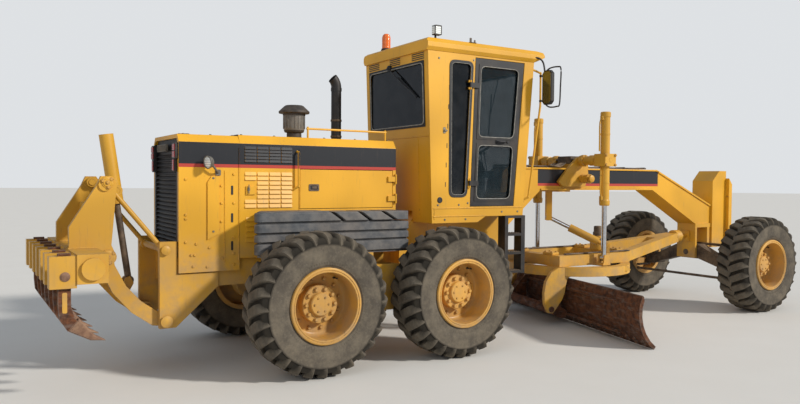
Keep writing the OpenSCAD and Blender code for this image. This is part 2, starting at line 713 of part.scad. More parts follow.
// Drawbar
ring_z = [665, 785];
bar_z0 = ring_z[1] + seat_gap;
bar_z1 = 930;
ball_shell_r = 100;
shift_foot = [3950, -470, 1030];
shift_head = [3450, 160, 1413];
shift_axis = 53.5;
module drawbar() {
    slope = atan2(ball[2] - 860, ball[0] - 4300);
    tongue_l = ball[0] - 4360;
    color(yellow) placed() difference() {
        union() {
            both_sides() block(3000, 4360, 400, 540, bar_z0, bar_z1);
            block(3000, 3140, -400, 400, bar_z0, bar_z1);
            bar_z(4290, 0, 112, bar_z1 - 1, 1090);
            bar_z(4290, 0, 74, 1089, 1130);
            block(4220, 4360, -400, 400, bar_z0, bar_z1);
            translate([4290, 0, 858]) rotate([0, -slope, 0]) translate([0, 0, -72])
                linear_extrude(height = 144) difference() {
                    polygon([[0, 540], [tongue_l, 90], [tongue_l, -90], [0, -540]]);
                    polygon([[70, 370], [tongue_l - 540, 80], [tongue_l - 540, -80], [70, -370]]);
                }
            translate([ball[0] - 110, 0, ball[2]]) rotate([0, 90, 0])
                cylinder(r = ball_shell_r, h = 130);
            both_sides() {
                block(lift_x - 70, lift_x + 70, 539, lift_y + 60, 790, 820);
                for (y = [lift_y - 60, lift_y + 40])
                    plate_y([[lift_x - 60, 800], [lift_x + 60, 800], [lift_x + 45, 930],
                        [lift_x - 45, 930]], y, y + 20);
            }
            translate(shift_foot) rotate([0, 0, shift_axis])
                for (x = [-66, 44]) translate([x, -40, bar_z1 - shift_foot[2] - 10]) cube([22, 80, 145]);
            translate(shift_foot) rotate([0, 0, shift_axis]) rotate([0, 90, 0])
                cylinder(r = shift_pin_r, h = 150, center = true);
        }
        translate(ball) sphere(r = ball_r + pin_gap);
    }
}

// Everything on the circle is drawn square to it, then turned about its middle
module on_circle() {
    placed() translate([circle_x, 0, 0]) rotate([0, 0, -circle_yaw]) children();
}

leg_y = [670, 730];
tip_pin = [-655, 235];
tip_pin_r = 40;
module circle() {
    color(yellow) on_circle() {
        difference() {
            bar_z(0, 0, circle_r, ring_z[0], ring_z[1]);
            bar_z(0, 0, circle_r - 125, ring_z[0] - 10, ring_z[1] + 10);
        }
        both_sides() difference() {
            plate_y([[-700, 190], [-755, 300], [-765, 450], [-740, 600], [-665, 725], [-560, 780],
                [520, 780], [560, 720], [200, 668], [-360, 668], [-420, 640], [-445, 550],
                [-460, 450], [-500, 355], [-590, 235], [-640, 180]], leg_y[0], leg_y[1]);
            bar_y(tip_pin[0], tip_pin[1], tip_pin_r + pin_gap, leg_y[0] - 10, leg_y[1] + 10);
        }
    }
}

// Blade: its section runs from the cutting edge to the top edge on an arc
edge_low = [-155, 21];
edge_top = [-310, 612];
blade_mid = (edge_low + edge_top) / 2;
blade_half = norm(edge_top - edge_low) / 2;
blade_back = [-(edge_top[1] - edge_low[1]), edge_top[0] - edge_low[0]] / (2 * blade_half);
blade_c = blade_mid - blade_back * sqrt(blade_r * blade_r - blade_half * blade_half);
blade_a0 = 360 + atan2(edge_low[1] - blade_c[1], edge_low[0] - blade_c[0]);
blade_a1 = atan2(edge_top[1] - blade_c[1], edge_top[0] - blade_c[0]);
edge_t = 16;
rail_hi = [485, 515];
rail_lo = [115, 145];
rail_hi_x = -405;
rail_lo_x = -335;
rail_half = 1750;
shift_rod_r = 25;
shift_eye_y = 1390;
function blade_back_x(z) = blade_c[0] - sqrt(pow(blade_r + blade_t, 2) - pow(z - blade_c[1], 2));
module blade() {
    y0 = -blade_l / 2 - blade_shift;
    y1 = blade_l / 2 - blade_shift;
    color(rust) on_circle() {
        plate_y(concat(arc_xz(blade_c[0], blade_c[1], blade_r, blade_a0, blade_a1, 10),
            arc_xz(blade_c[0], blade_c[1], blade_r + blade_t, blade_a1, blade_a0, 10)), y0, y1);
        for (p = [[y0, y1, 0.22], [y0, y0 + 110, 0.97], [y1 - 110, y1, 0.97]]) {
            a1 = blade_a0 + (blade_a1 - blade_a0) * p[2];
            plate_y(concat(arc_xz(blade_c[0], blade_c[1], blade_r - edge_t, blade_a0, a1, 6),
                arc_xz(blade_c[0], blade_c[1], blade_r + 1, a1, blade_a0, 6)), p[0], p[1]);
        }
        plate_y([[rail_hi_x, rail_hi[0]], [-352, rail_hi[0]], [-352, rail_hi[1]], [rail_hi_x, rail_hi[1]]],
            -rail_half, rail_half);
        plate_y([[rail_lo_x, rail_lo[0]], [-278, rail_lo[0]], [-284, rail_lo[1]], [rail_lo_x, rail_lo[1]]],
            -rail_half, rail_half);
        bar_y(tip_pin[0], tip_pin[1], shift_rod_r, -60, shift_eye_y);
        plate_y([[tip_pin[0] - 40, 200], [tip_pin[0] + 40, 195], [-330, 240], [-352, 300], [-352, 330],
            [tip_pin[0], 280], [tip_pin[0] - 40, 270]], shift_eye_y - 30, shift_eye_y);
    }
}

module blade_carrier() {
    tube_r = 62;
    color(rust) on_circle() difference() {
        union() {
            bar_y(tip_pin[0], tip_pin[1], tube_r, -leg_y[0] + 5, leg_y[0] - 5);
            bar_y(tip_pin[0], tip_pin[1], tip_pin_r, -leg_y[1] - 5, leg_y[1] + 5);
            both_sides() plate_y([[-700, 200], [-640, 175], [-400, 70], [rail_lo_x - seat_gap, 85],
                [rail_lo_x - seat_gap, 180], [-420, 230], [-420, 440], [rail_hi_x - seat_gap, 455],
                [rail_hi_x - seat_gap, 545], [-450, 560], [-660, 300]], 420, 560);
            both_sides() {
                block(-440, blade_back_x(545) - 12, 420, 560, rail_hi[1] + seat_gap, 545);
                block(-380, blade_back_x(172) - 5, 420, 560, rail_lo[1] + seat_gap, 172);
            }
        }
        bar_y(tip_pin[0], tip_pin[1], shift_rod_r + pin_gap, -leg_y[1] + 20, leg_y[1] + 20);
    }
}

// Centre shift cylinder, from the drawbar's right side up to the frame
shift_barrel_r = 55;
shift_rod2_r = 28;
shift_pin_r = 20;
shift_barrel_l = 560;
module shift_barrel() {
    color(yellow) placed() difference() {
        union() {
            bar(along(shift_foot, shift_head, 20), along(shift_foot, shift_head, 120), 28);
            bar(along(shift_foot, shift_head, 115), along(shift_foot, shift_head, shift_barrel_l), shift_barrel_r);
            translate(shift_foot) rotate([0, 0, shift_axis]) rotate([0, 90, 0])
                cylinder(r = 42, h = 2 * 43.7, center = true);
        }
        translate(shift_foot) rotate([0, 0, shift_axis]) rotate([0, 90, 0])
            cylinder(r = shift_pin_r + pin_gap, h = 200, center = true);
        bar(along(shift_foot, shift_head, 130), along(shift_foot, shift_head, shift_barrel_l + 10),
            shift_rod2_r + pin_gap);
    }
}
module shift_rod() {
    color(steel) placed() {
        bar(along(shift_foot, shift_head, 290), shift_head, shift_rod2_r);
        translate(shift_head) rotate([0, 0, shift_axis]) rotate([0, 90, 0])
            cylinder(r = 42, h = 60, center = true);
    }
}

// Cab
cab_outline = [[820, 1430], [1480, 1430], [1600, 1500], [2185, 1500], [2345, roof_z], [745, roof_z]];
cab_inside = [[880, floor_z], [2135, floor_z], [2284, roof_z + 10], [805, roof_z + 10]];
door_outline = [[1366, 1623], [2026, 1623], [2180, 3380], [1432, 3380]];
cab_hinge = [1345, -736];
cab_hinge_z = [1840, 3000];
cab_hinge_leaf = 1450;
grab_r = 13;
slim_outline = [[1075, 1750], [1295, 1750], [1375, 3310], [1070, 3310]];
module door_opening(y0, y1) {
    plate_y([[1360, 1617], [2037, 1617], [2192, 3386], [1426, 3386]], y0, y1);
}

module cab_body() {
    color(yellow) placed() difference() {
        plate_y(cab_outline, -cab_y, cab_y);
        plate_y(cab_inside, -cab_y + wall_t, cab_y - wall_t);
        block(880, 2130, -cab_y + wall_t, cab_y - wall_t, 1300, floor_z - wall_t);
        block(700, 2300, -belly_y - 8, belly_y + 8, 1300, floor_z - wall_t);
        both_sides() {
            door_opening(cab_y - wall_t - 10, cab_y + 10);
            plate_y(slim_outline, cab_y - wall_t - 10, cab_y + 10);
        }
        block(700, 900, -620, 620, 2560, 3290);
        plate_x([[-600, 1760], [600, 1760], [600, 3300], [-600, 3300]], 2100, 2400);
    }
    color(yellow) placed() both_sides()
        tube([[2196, -700, 1690], [2253, -745, 1725], [2434, -745, 2871], [2434, -745, 3280], [2328, -700, 3325]],
            grab_r);
    color(yellow) placed() both_sides() for (z = cab_hinge_z) {
        bar_z(cab_hinge[0], cab_hinge[1], hinge_pin_r, z, z + hinge_h);
        for (dz = [0, hinge_h - 25]) {
            bar_z(cab_hinge[0], cab_hinge[1], knuckle_r, z + dz, z + dz + 25);
            block(cab_hinge[0] - 25, cab_hinge[0], cab_hinge[1], -cab_y + 1, z + dz, z + dz + 25);
        }
    }
}

module cab_roof() {
    color(yellow) placed() intersection() {
        plate_y([[724, roof_z + seat_gap], [2350, roof_z + seat_gap], [2497, 3476], [2497, 3540], [2400, 3555],
            [760, 3555], [724, 3530]], -760, 760);
        plate_x([[-725, roof_z], [725, roof_z], [750, 3450], [750, 3500], [708, 3556], [-708, 3556], [-750, 3500],
            [-750, 3450]], 700, 2510);
    }
}

module cab_glass() {
    color(glass_tint) placed() {
        both_sides() plate_y(slim_outline, cab_y - 30, cab_y - 30 + pane_t);
        plate_y([[779, 2560], [789, 2560], [772, 3290], [762, 3290]], -620, 620);
    }
}

module cab_door() {
    difference() {
        plate_y(door_outline, -cab_y, -cab_y + wall_t);
        plate_y([[1440, 1700], [1970, 1700], [2020, 2360], [1466, 2360]], -cab_y - 10, -cab_y + wall_t + 10);
        plate_y([[1470, 2440], [2026, 2440], [2104, 3300], [1500, 3300]], -cab_y - 10, -cab_y + wall_t + 10);
    }
}
module cab_door_hinges() {
    for (z = cab_hinge_z)
        hinge_moving(cab_hinge[0], cab_hinge[1], z, cab_hinge_leaf, -cab_y + 1);
}
module door_glass() {
    plate_y([[1440, 1700], [1970, 1700], [2020, 2360], [1466, 2360]], -cab_y + 20, -cab_y + 20 + pane_t);
    plate_y([[1470, 2440], [2026, 2440], [2104, 3300], [1500, 3300]], -cab_y + 20, -cab_y + 20 + pane_t);
}
module cab_door_right() {
    color(black) placed() {
        cab_door();
        cab_door_hinges();
    }
}
module cab_door_left() {
    color(black) placed() mirror([0, 1, 0]) {
        cab_door();
        cab_door_hinges();
    }
}
module door_glass_right() { color(glass_tint) placed() door_glass(); }
module door_glass_left() { color(glass_tint) placed() mirror([0, 1, 0]) door_glass(); }

module cab_interior() {
    color(black) placed() {
        block(1100, 1550, -200, 200, floor_z, 1960);
        block(1080, 1620, -260, 260, 1960, 2070);
        plate_y([[1090, 2069], [1230, 2069], [1180, 2760], [1080, 2760]], -250, 250);
        for (y = [-330, 270]) block(1120, 1500, y, y + 60, 2180, 2230);
        for (y = [-300, 240]) block(1120, 1170, y, y + 60, 2000, 2181);
        plate_y([[1860, floor_z], [2060, floor_z], [2060, 2080], [1990, 2190], [1900, 2190]], -120, 120);
        bar([1940, 0, 2180], [2010, 0, 2330], 34);
        translate([2010, 0, 2330]) rotate([0, -28, 0]) {
            rotate_extrude() translate([185, 0]) polygon(disc(15, 12));
            for (a = [0, 120, 240]) rotate([0, 0, a]) bar_x(0, 0, 11, 0, 185);
        }
    }
}

ladder_x = [1895, 2215];
module cab_fittings() {
    rail_side = 745 + grab_r + seat_gap;
    color(black) placed() {
        both_sides() {
            block(ladder_x[0], ladder_x[0] + 50, 600, 735, 800, 1499.7);
            block(ladder_x[1] - 60, ladder_x[1], 600, 735, 780, 1499.7);
            for (z = [790, 1020, 1250, 1470])
                block(ladder_x[0], ladder_x[1], 600, 735, z, z + 28);
            plate_x([[800, 2917], [835, 2877], [925, 2877], [965, 2917], [965, 3259], [925, 3299], [835, 3299],
                [800, 3259]], 2412, 2458);
            for (z = [2930, 3240]) bar_y(2434, z, 9, rail_side, 812);
        }
        bar_z(840, 370, 62, 3555, 3580);
        translate([840, 370, 3580]) rotate_extrude()
            polygon([[0, 0], [50, 0], [50, 150], [38, 186], [0, 200]]);
        bar_z(880, -670, 12, 3555, 3595);
        block(838, 928, -722, -662, 3592, 3700);
    }
}

// Ripper: two bent arms and two links hold its frame on a parallelogram
reach = [-527, 650];
arm_end = arm_pin + reach;
link_end = link_pin + reach;
cyl_head = [-2495, 1800];
cyl_foot = [-2367, 905];
cyl_pin_r = 30;
module ripper_arms() {
    arm_y = [345, 408];
    color(yellow) placed() difference() {
        union() {
            both_sides() {
                plate_y([[arm_pin[0] + 20, 480], [-2230, 500], [-2420, 640], [-2590, 840], [-2700, 1080],
                    [arm_end[0] - 62, arm_end[1] + 30], [arm_end[0] + 45, arm_end[1] + 50],
                    [-2570, 1100], [-2470, 900], [-2330, 740], [-2160, 620], [arm_pin[0] + 30, 600]],
                    arm_y[0], arm_y[1]);
                bar_y(arm_pin[0], arm_pin[1], 75, arm_y[0], arm_y[1]);
                bar_y(arm_end[0], arm_end[1], 75, arm_y[0], arm_y[1]);
            }
            bar_y(-2440, 790, 50, -arm_y[0] - 5, arm_y[0] + 5);
            for (y = [-75, 45])
                plate_y([[-2480, 760], [-2400, 750], [-2330, 880], [-2367, 950], [-2410, 930]], y, y + 30);
        }
        bar_y(arm_pin[0], arm_pin[1], arm_pin_r + pin_gap, -500, 500);
        bar_y(arm_end[0], arm_end[1], arm_pin_r + pin_gap, -500, 500);
    }
}

side_y = [412, 478];
beam_x = [-2990, -2740];
beam_z = [1030, 1280];
beam_half = 1080;
holder_x = [-3200, -2989];
module ripper_frame() {
    color(yellow) placed() {
        block(beam_x[0], beam_x[1], -beam_half, beam_half, beam_z[0], beam_z[1]);
        both_sides() {
            plate_y([[-2975, 1250], [-2975, 1476], [-2743, 1845], [-2700, 1940], [-2600, 1940],
                [-2560, 1880], [-2612, 1300], [-2570, 1200], [-2600, 1120], [-2700, 1130], [-2760, 1250]],
                side_y[0], side_y[1]);
            bar_y(arm_end[0], arm_end[1], arm_pin_r, 340, side_y[0] + 1);
            bar_y(link_end[0], link_end[1], link_pin_r, 340, side_y[0] + 1);
            bar_y(arm_end[0], arm_end[1], 72, side_y[1] - 1, side_y[1] + 16);
            bar_y(link_end[0], link_end[1], 58, side_y[1] - 1, side_y[1] + 16);
            bar_y(cyl_head[0] - 172, cyl_head[1] + 60, 58, side_y[1] - 1, side_y[1] + 16);
            bar_y((beam_x[0] + beam_x[1]) / 2, (beam_z[0] + beam_z[1]) / 2, 95, beam_half - 1, beam_half + 30);
        }
        block(-2760, -2660, -side_y[0] - 1, side_y[0] + 1, 1520, 1680);
        for (y = [-110, 80])
            difference() {
                union() {
                    plate_y([[-2670, 1540], [-2670, 1680], [-2530, 1850], [-2455, 1770]], y, y + 30);
                    bar_y(cyl_head[0], cyl_head[1], 55, y, y + 30);
                }
                bar_y(cyl_head[0], cyl_head[1], cyl_pin_r + pin_gap, y - 5, y + 35);
            }
        for (i = [0 : shanks - 1])
            difference() {
                y = (i - (shanks - 1) / 2) * shank_pitch;
                block(holder_x[0], holder_x[1], y - 65, y + 65, 1000, 1270);
                block(-3130 - seat_gap, -3030 + seat_gap, y - 30 - seat_gap, y + 30 + seat_gap, 990, 1300);
            }
    }
}

module ripper_shanks() {
    color(rust) placed()
        for (i = [0 : shanks - 1]) {
            y = (i - (shanks - 1) / 2) * shank_pitch;
            plate_y([[-3130, 1290], [-3030, 1290], [-3030, 850], [-3000, 740], [-2850, 560], [-2870, 550],
                [-3060, 640], [-3120, 740], [-3130, 850]], y - 30, y + 30);
        }
}

module ripper_links() {
    link_y = [350, 400];
    color(yellow) placed() both_sides() difference() {
        union() {
            bar([link_pin[0], 375, link_pin[1]], [link_end[0], 375, link_end[1]], 24);
            bar_y(link_pin[0], link_pin[1], 50, link_y[0], link_y[1]);
            bar_y(link_end[0], link_end[1], 50, link_y[0], link_y[1]);
        }
        bar_y(link_pin[0], link_pin[1], link_pin_r + pin_gap, link_y[0] - 10, link_y[1] + 10);
        bar_y(link_end[0], link_end[1], link_pin_r + pin_gap, link_y[0] - 10, link_y[1] + 10);
    }
}

rip_a = [cyl_head[0], 0, cyl_head[1]];
rip_b = [cyl_foot[0], 0, cyl_foot[1]];
rip_barrel_r = 68;
rip_rod_r = 32;
module ripper_barrel() {
    color(yellow) placed() difference() {
        union() {
            bar(along(rip_a, rip_b, -560), along(rip_a, rip_b, 130), rip_barrel_r);
            bar_y(cyl_head[0], cyl_head[1], cyl_pin_r, -108, 108);
        }
        bar(along(rip_a, rip_b, -530), along(rip_a, rip_b, 140), rip_rod_r + pin_gap);
    }
}
module ripper_rod() {
    color(black) placed() {
        bar(along(rip_a, rip_b, -20), rip_b, rip_rod_r);
        bar_y(cyl_foot[0], cyl_foot[1], 45, -39, 39);
    }
}

rear_frame();
tandem_cases();
engine();
radiator_guard();
hood_top();
side_panels();
engine_door_right();
engine_door_left();
ribbed_guards();
exhaust_stack();
precleaner();
tyre_rear_right();
tyre_rear_left();
tyre_mid_right();
tyre_mid_left();
tyre_front_right();
tyre_front_left();
wheel_rear_right();
wheel_rear_left();
wheel_mid_right();
wheel_mid_left();
wheel_front_right();
wheel_front_left();
front_frame();
lift_saddle();
front_axle();
lean_housing_right();
lean_housing_left();
knuckle_right();
knuckle_left();
lean_bar();
tie_end();
tie_rod();
cab_body();
cab_roof();
cab_glass();
cab_interior();
cab_fittings();
cab_door_right();
cab_door_left();
door_glass_right();
door_glass_left();
drawbar();
circle();
blade_carrier();
blade();
lift_barrel_right();
lift_barrel_left();
lift_rod_right();
lift_rod_left();
shift_barrel();
shift_rod();
ripper_arms();
ripper_frame();
ripper_shanks();
ripper_links();
ripper_barrel();
ripper_rod();
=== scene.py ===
"""A used motor grader: paint, rubber, glass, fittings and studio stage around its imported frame."""
import math

import bmesh
import bpy
import numpy as np
from bpy.props import FloatProperty, FloatVectorProperty, IntProperty, PointerProperty
from bpy.types import Operator, Panel, PropertyGroup
from mathutils import Matrix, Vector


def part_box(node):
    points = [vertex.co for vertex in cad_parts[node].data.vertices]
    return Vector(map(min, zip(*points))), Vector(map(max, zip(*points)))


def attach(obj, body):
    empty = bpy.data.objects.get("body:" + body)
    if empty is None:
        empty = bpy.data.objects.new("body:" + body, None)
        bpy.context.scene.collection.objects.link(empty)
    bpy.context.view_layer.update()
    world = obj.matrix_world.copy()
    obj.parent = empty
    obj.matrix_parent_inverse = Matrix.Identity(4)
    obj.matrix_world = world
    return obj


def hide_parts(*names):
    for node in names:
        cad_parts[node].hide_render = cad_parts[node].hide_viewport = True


bl_info = {
    "name": "Motor grader",
    "version": (1, 0, 0),
    "blender": (4, 5, 0),
    "location": "View3D > Sidebar > Grader",
    "description": "Dresses an articulated motor grader with paint, tyres, glass, pipes and fittings",
    "category": "Add Mesh",
}

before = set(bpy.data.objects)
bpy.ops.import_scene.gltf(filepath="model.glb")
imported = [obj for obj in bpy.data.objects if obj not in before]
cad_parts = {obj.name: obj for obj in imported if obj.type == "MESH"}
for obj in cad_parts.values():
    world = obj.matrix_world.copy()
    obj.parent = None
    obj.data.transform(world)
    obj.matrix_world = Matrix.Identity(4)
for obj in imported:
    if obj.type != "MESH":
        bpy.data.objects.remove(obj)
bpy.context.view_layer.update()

# Everything below is in metres, in the frame's own axes: +X ahead, +Y to the machine's left, +Z up.
# The middle of the tandem wheels, from which places along the machine are counted.
TANDEM_X = -1.95
UP, AHEAD = (0.0, 0.0, 1.0), (1.0, 0.0, 0.0)
SIDES = ((-1.0, "right"), (1.0, "left"))
# Ways that a flat outline can face, as the directions of its own x and y; it looks along their product
REARWARD = ((0, -1, 0), UP)
FORWARD = ((0, 1, 0), UP)
UPWARD = (AHEAD, (0, 1, 0))
UPWARD_ACROSS = ((0, 1, 0), (-1, 0, 0))


def sideward(side):
    """Facing out from one side of the machine."""
    return (-side, 0, 0), UP


def at(x, y, z):
    """A point counted from the middle of the tandem wheels, as an array in the frame's axes."""
    return np.array([x + TANDEM_X, y, z], dtype=float)


def linear(hex_code):
    """An sRGB hex colour as linear RGBA: each channel's gamma curve is undone."""
    channels = [int(hex_code[i:i + 2], 16) / 255 for i in (1, 3, 5)]
    undone = [c / 12.92 if c <= 0.04045 else ((c + 0.055) / 1.055) ** 2.4 for c in channels]
    return (*undone, 1.0)


def scaled(colour, factor, lift=0.0):
    """A colour times a factor plus a lift, held to 1."""
    return tuple(min(1.0, c * factor + lift) for c in colour[:3]) + (1.0,)


# Surfaces, worked out as whole arrays; a shape is a pair of points and faces


def grid_faces(rows, columns, close_rows=False, close_columns=False):
    """Quads between neighbouring rows and columns of a grid of points, numbered row by row."""
    i = np.arange(rows if close_rows else rows - 1)
    j = np.arange(columns if close_columns else columns - 1)
    i, j = np.meshgrid(i, j, indexing="ij")
    a, d = i * columns, ((i + 1) % rows) * columns
    ahead = (j + 1) % columns
    return np.stack([a + j, a + ahead, d + ahead, d + j], -1).reshape(-1, 4).tolist()


def turn_about(axis, angle):
    """The matrix that turns by an angle in radians about an axis, by the right-hand rule."""
    x, y, z = np.asarray(axis, dtype=float) / np.linalg.norm(axis)
    skew = np.array([[0, -z, y], [z, 0, -x], [-y, x, 0]])
    return np.eye(3) + math.sin(angle) * skew + (1 - math.cos(angle)) * skew @ skew


def frame_along(axis):
    """A matrix whose third column is the axis, so that a shape made along Z stands along it."""
    w = np.asarray(axis, dtype=float) / np.linalg.norm(axis)
    u = np.cross(UP if abs(w[2]) < 0.9 else AHEAD, w)
    u /= np.linalg.norm(u)
    return np.stack([u, np.cross(w, u), w], axis=1)


def lathe(profile, origin=(0, 0, 0), axis=UP, sides=32):
    """A profile of (distance along the axis, radius) pairs turned round an axis through origin.

    Point = origin + axis * along + radius * (cos t * u + sin t * v), with u and v square to the axis.
    """
    u, v, w = frame_along(axis).T
    along, radius = np.asarray(profile, dtype=float).T[:, :, None, None]
    t = np.linspace(0, 2 * np.pi, sides, endpoint=False)[:, None]
    points = np.asarray(origin) + along * w + radius * (np.cos(t) * u + np.sin(t) * v)
    return points.reshape(-1, 3), grid_faces(len(profile), sides, close_columns=True)


def tube(path, radius, sides=12):
    """A circle carried along a path, closed at both ends by rings of no radius.

    Point = path + radius * (cos t * n + sin t * b), with n and b square to the path's direction.
    """
    path = np.asarray(path, dtype=float)
    along = np.gradient(path, axis=0)
    along /= np.linalg.norm(along, axis=1)[:, None]
    n = np.cross(along, UP)
    upright = np.linalg.norm(n, axis=1) < 0.05
    n[upright] = np.cross(along[upright], (0.3, 1.0, 0.1))
    n /= np.linalg.norm(n, axis=1)[:, None]
    b = np.cross(along, n)
    t = np.linspace(0, 2 * np.pi, sides, endpoint=False)[:, None]
    body = path[:, None] + radius * (np.cos(t) * n[:, None] + np.sin(t) * b[:, None])
    first, last = (np.repeat(path[k][None, None], sides, axis=1) for k in (0, -1))
    points = np.concatenate([first, body, last])
    return points.reshape(-1, 3), grid_faces(len(points), sides, close_columns=True)


def smooth_path(knots, steps=10):
    """Points on a smooth curve through the knots: each span is a cubic whose end slopes are those
    of the neighbouring knots."""
    knots = np.asarray(knots, dtype=float)
    padded = np.concatenate([[2 * knots[0] - knots[1]], knots, [2 * knots[-1] - knots[-2]]])
    t = np.linspace(0, 1, steps, endpoint=False)[None, :, None]
    p0, p1, p2, p3 = (p[:, None] for p in (padded[:-3], padded[1:-2], padded[2:-1], padded[3:]))
    curve = 0.5 * (2 * p1 + (p2 - p0) * t + (2 * p0 - 5 * p1 + 4 * p2 - p3) * t ** 2
                   + (3 * p1 - p0 - 3 * p2 + p3) * t ** 3)
    return np.concatenate([curve.reshape(-1, 3), knots[-1:]])


def pipe(knots, radius, side=1.0, sides=12):
    """A tube on a smooth curve through knots given for the left side, or mirrored to the right."""
    return tube(smooth_path([at(x, side * y, z) for x, y, z in knots]), radius, sides)


def chamfered_block(centre, size, edge):
    """A block whose twelve edges are cut back: each corner becomes three points, one on each face that
    meets there. A corner's number adds 4, 2 and 1 where it lies on the + side of x, y and z."""
    half = np.asarray(size, dtype=float) / 2
    corners = 2.0 * ((np.arange(8)[:, None] // np.array([4, 2, 1])) % 2) - 1
    points = np.concatenate([corners * np.where(np.arange(3) == k, half, half - edge) for k in range(3)])
    faces = []
    for k in range(3):
        a, b = (m for m in range(3) if m != k)
        bit, first, second = 4 >> k, 4 >> a, 4 >> b
        for high in (0, bit):
            loop = [8 * k + high + p for p in (0, first, first + second, second)]
            faces.append(loop if (high > 0) == (k != 1) else loop[::-1])
        for p in (0, second, first, first + second):
            loop = [8 * a + p, 8 * a + p + bit, 8 * b + p + bit, 8 * b + p]
            faces.append(loop[::-1] if (p in (0, first + second)) == (k != 1) else loop)
    faces += [[i, 8 + i, 16 + i][::1 if corner.prod() > 0 else -1] for i, corner in enumerate(corners)]
    return points + centre, faces


def copies(shape, origins, turns=None):
    """Copies of one shape: each copy's points are turn @ point + origin."""
    points, faces = np.asarray(shape[0], dtype=float), shape[1]
    origins = np.atleast_2d(origins)
    turns = np.broadcast_to(np.eye(3) if turns is None else np.asarray(turns), (len(origins), 3, 3))
    moved = np.einsum("nij,kj->nki", turns, points) + origins[:, None]
    shifts = range(0, len(points) * len(origins), len(points))
    return moved.reshape(-1, 3), [[i + shift for i in face] for shift in shifts for face in faces]


def spun_copies(shape, centre, axis, angles):
    """Copies of one shape, each turned about an axis through the centre by its own angle."""
    return copies(shape, np.repeat(centre[None], len(angles), axis=0), [turn_about(axis, a) for a in angles])


def full_turn(count, phase=0.0):
    """Angles evenly round a circle."""
    return phase + 2 * np.pi * np.arange(count) / count


def join_shapes(shapes):
    """Several shapes as one."""
    faces, shift = [], 0
    for points, own in shapes:
        faces += [[i + shift for i in face] for face in own]
        shift += len(points)
    return np.concatenate([points for points, own in shapes]), faces


def offset_outline(outline, distance):
    """An outline moved out by a distance: each corner goes along the sum of its two sides' normals,
    divided by one plus their product, which keeps both sides parallel to where they were."""
    outline = np.asarray(outline, dtype=float)
    ahead = np.roll(outline, -1, axis=0)
    turn = np.sign(np.sum(outline[:, 0] * ahead[:, 1] - outline[:, 1] * ahead[:, 0]))
    step = ahead - outline
    step /= np.linalg.norm(step, axis=1)[:, None]
    normal = turn * np.stack([step[:, 1], -step[:, 0]], 1)
    before = np.roll(normal, 1, axis=0)
    return outline + distance * (normal + before) / (1 + np.sum(normal * before, 1))[:, None]


def rounded(outline, radius, steps=5):
    """An outline with each corner C swapped for the curve (1-t)^2 A + 2t(1-t) C + t^2 B, where A and
    B lie the radius back from it along its two sides."""
    c = np.asarray(outline, dtype=float)
    back, ahead = np.roll(c, 1, axis=0) - c, np.roll(c, -1, axis=0) - c
    a = c + radius * back / np.linalg.norm(back, axis=1)[:, None]
    b = c + radius * ahead / np.linalg.norm(ahead, axis=1)[:, None]
    t = np.linspace(0, 1, steps)[None, :, None]
    return ((1 - t) ** 2 * a[:, None] + 2 * t * (1 - t) * c[:, None] + t ** 2 * b[:, None]).reshape(-1, 2)


def rectangle(x0, x1, y0, y1, corner=0.0):
    """A rectangle's outline, with rounded corners where asked."""
    outline = np.array([[x0, y0], [x1, y0], [x1, y1], [x0, y1]], dtype=float)
    return rounded(outline, corner) if corner else outline


def tile(half_x, half_y, corner=0.0):
    """A rectangle about the origin."""
    return rectangle(-half_x, half_x, -half_y, half_y, corner)


def stand(rings, origin, facing):
    """Rings of (outline, depth) set in space: origin + across * x + up * y + (across x up) * depth."""
    across, up = (np.asarray(v, dtype=float) / np.linalg.norm(v) for v in facing)
    out = np.cross(across, up)
    return np.concatenate([np.asarray(origin) + ring[:, :1] * across + ring[:, 1:] * up + depth * out
                           for ring, depth in rings])


def slab(outline, origin, facing, depth, edge=0.002):
    """A flat plate: its outline is carried through the depth, drawn in by the edge at both faces."""
    outline = np.asarray(outline, dtype=float)
    small, n = offset_outline(outline, -edge), len(outline)
    points = stand([(small, 0), (outline, edge), (outline, depth - edge), (small, depth)], origin, facing)
    caps = [list(range(n))[::-1], list(range(3 * n, 4 * n))]
    return points, grid_faces(4, n, close_columns=True) + caps


def ring_plate(inner, outer, origin, facing, depth):
    """A plate with one opening: four loops, inner and outer at the back and at the front, are joined
    in turn. Both outlines have the same number of points."""
    points = stand([(inner, 0), (inner, depth), (outer, depth), (outer, 0)], origin, facing)
    return points, grid_faces(4, len(inner), close_rows=True, close_columns=True)


def loop_tube(outline, origin, facing, radius, sides=8):
    """A round section carried round a closed outline: each corner moves out by radius cos t and
    forward by radius sin t."""
    rings = [(offset_outline(outline, radius * math.cos(t)), radius * math.sin(t)) for t in full_turn(sides)]
    return stand(rings, origin, facing), grid_faces(sides, len(outline), close_rows=True, close_columns=True)


def on_side(outline, side, y, depth, edge=0.002):
    """A plate on one side of the machine, its outline in x and z, standing out from |y| by its depth."""
    return slab((outline + (TANDEM_X, 0.0)) * (-side, 1.0), (0.0, side * y, 0.0), sideward(side), depth, edge)


def ring_of_points(centre, axis, along, radius, count, phase=0.0):
    """Points evenly round an axis: centre + axis * along + radius * (cos t * u + sin t * v)."""
    t = full_turn(count, phase)
    local = np.stack([radius * np.cos(t), radius * np.sin(t), np.full(count, along)], 1)
    return np.asarray(centre) + local @ frame_along(axis).T


def hex_bolts(points, axis, across=0.024, height=0.014):
    """Hexagon bolt heads on washers, standing at points along one axis: two profiles turned round it."""
    washer = lathe([(0, 0), (0, across * 0.78), (0.003, across * 0.78), (0.003, 0)], sides=16)
    r = across / math.sqrt(3)
    head = lathe([(0.002, r), (height * 0.82, r), (height, r * 0.86), (height, 0)], sides=6)
    return copies(join_shapes([washer, head]), points, frame_along(axis))


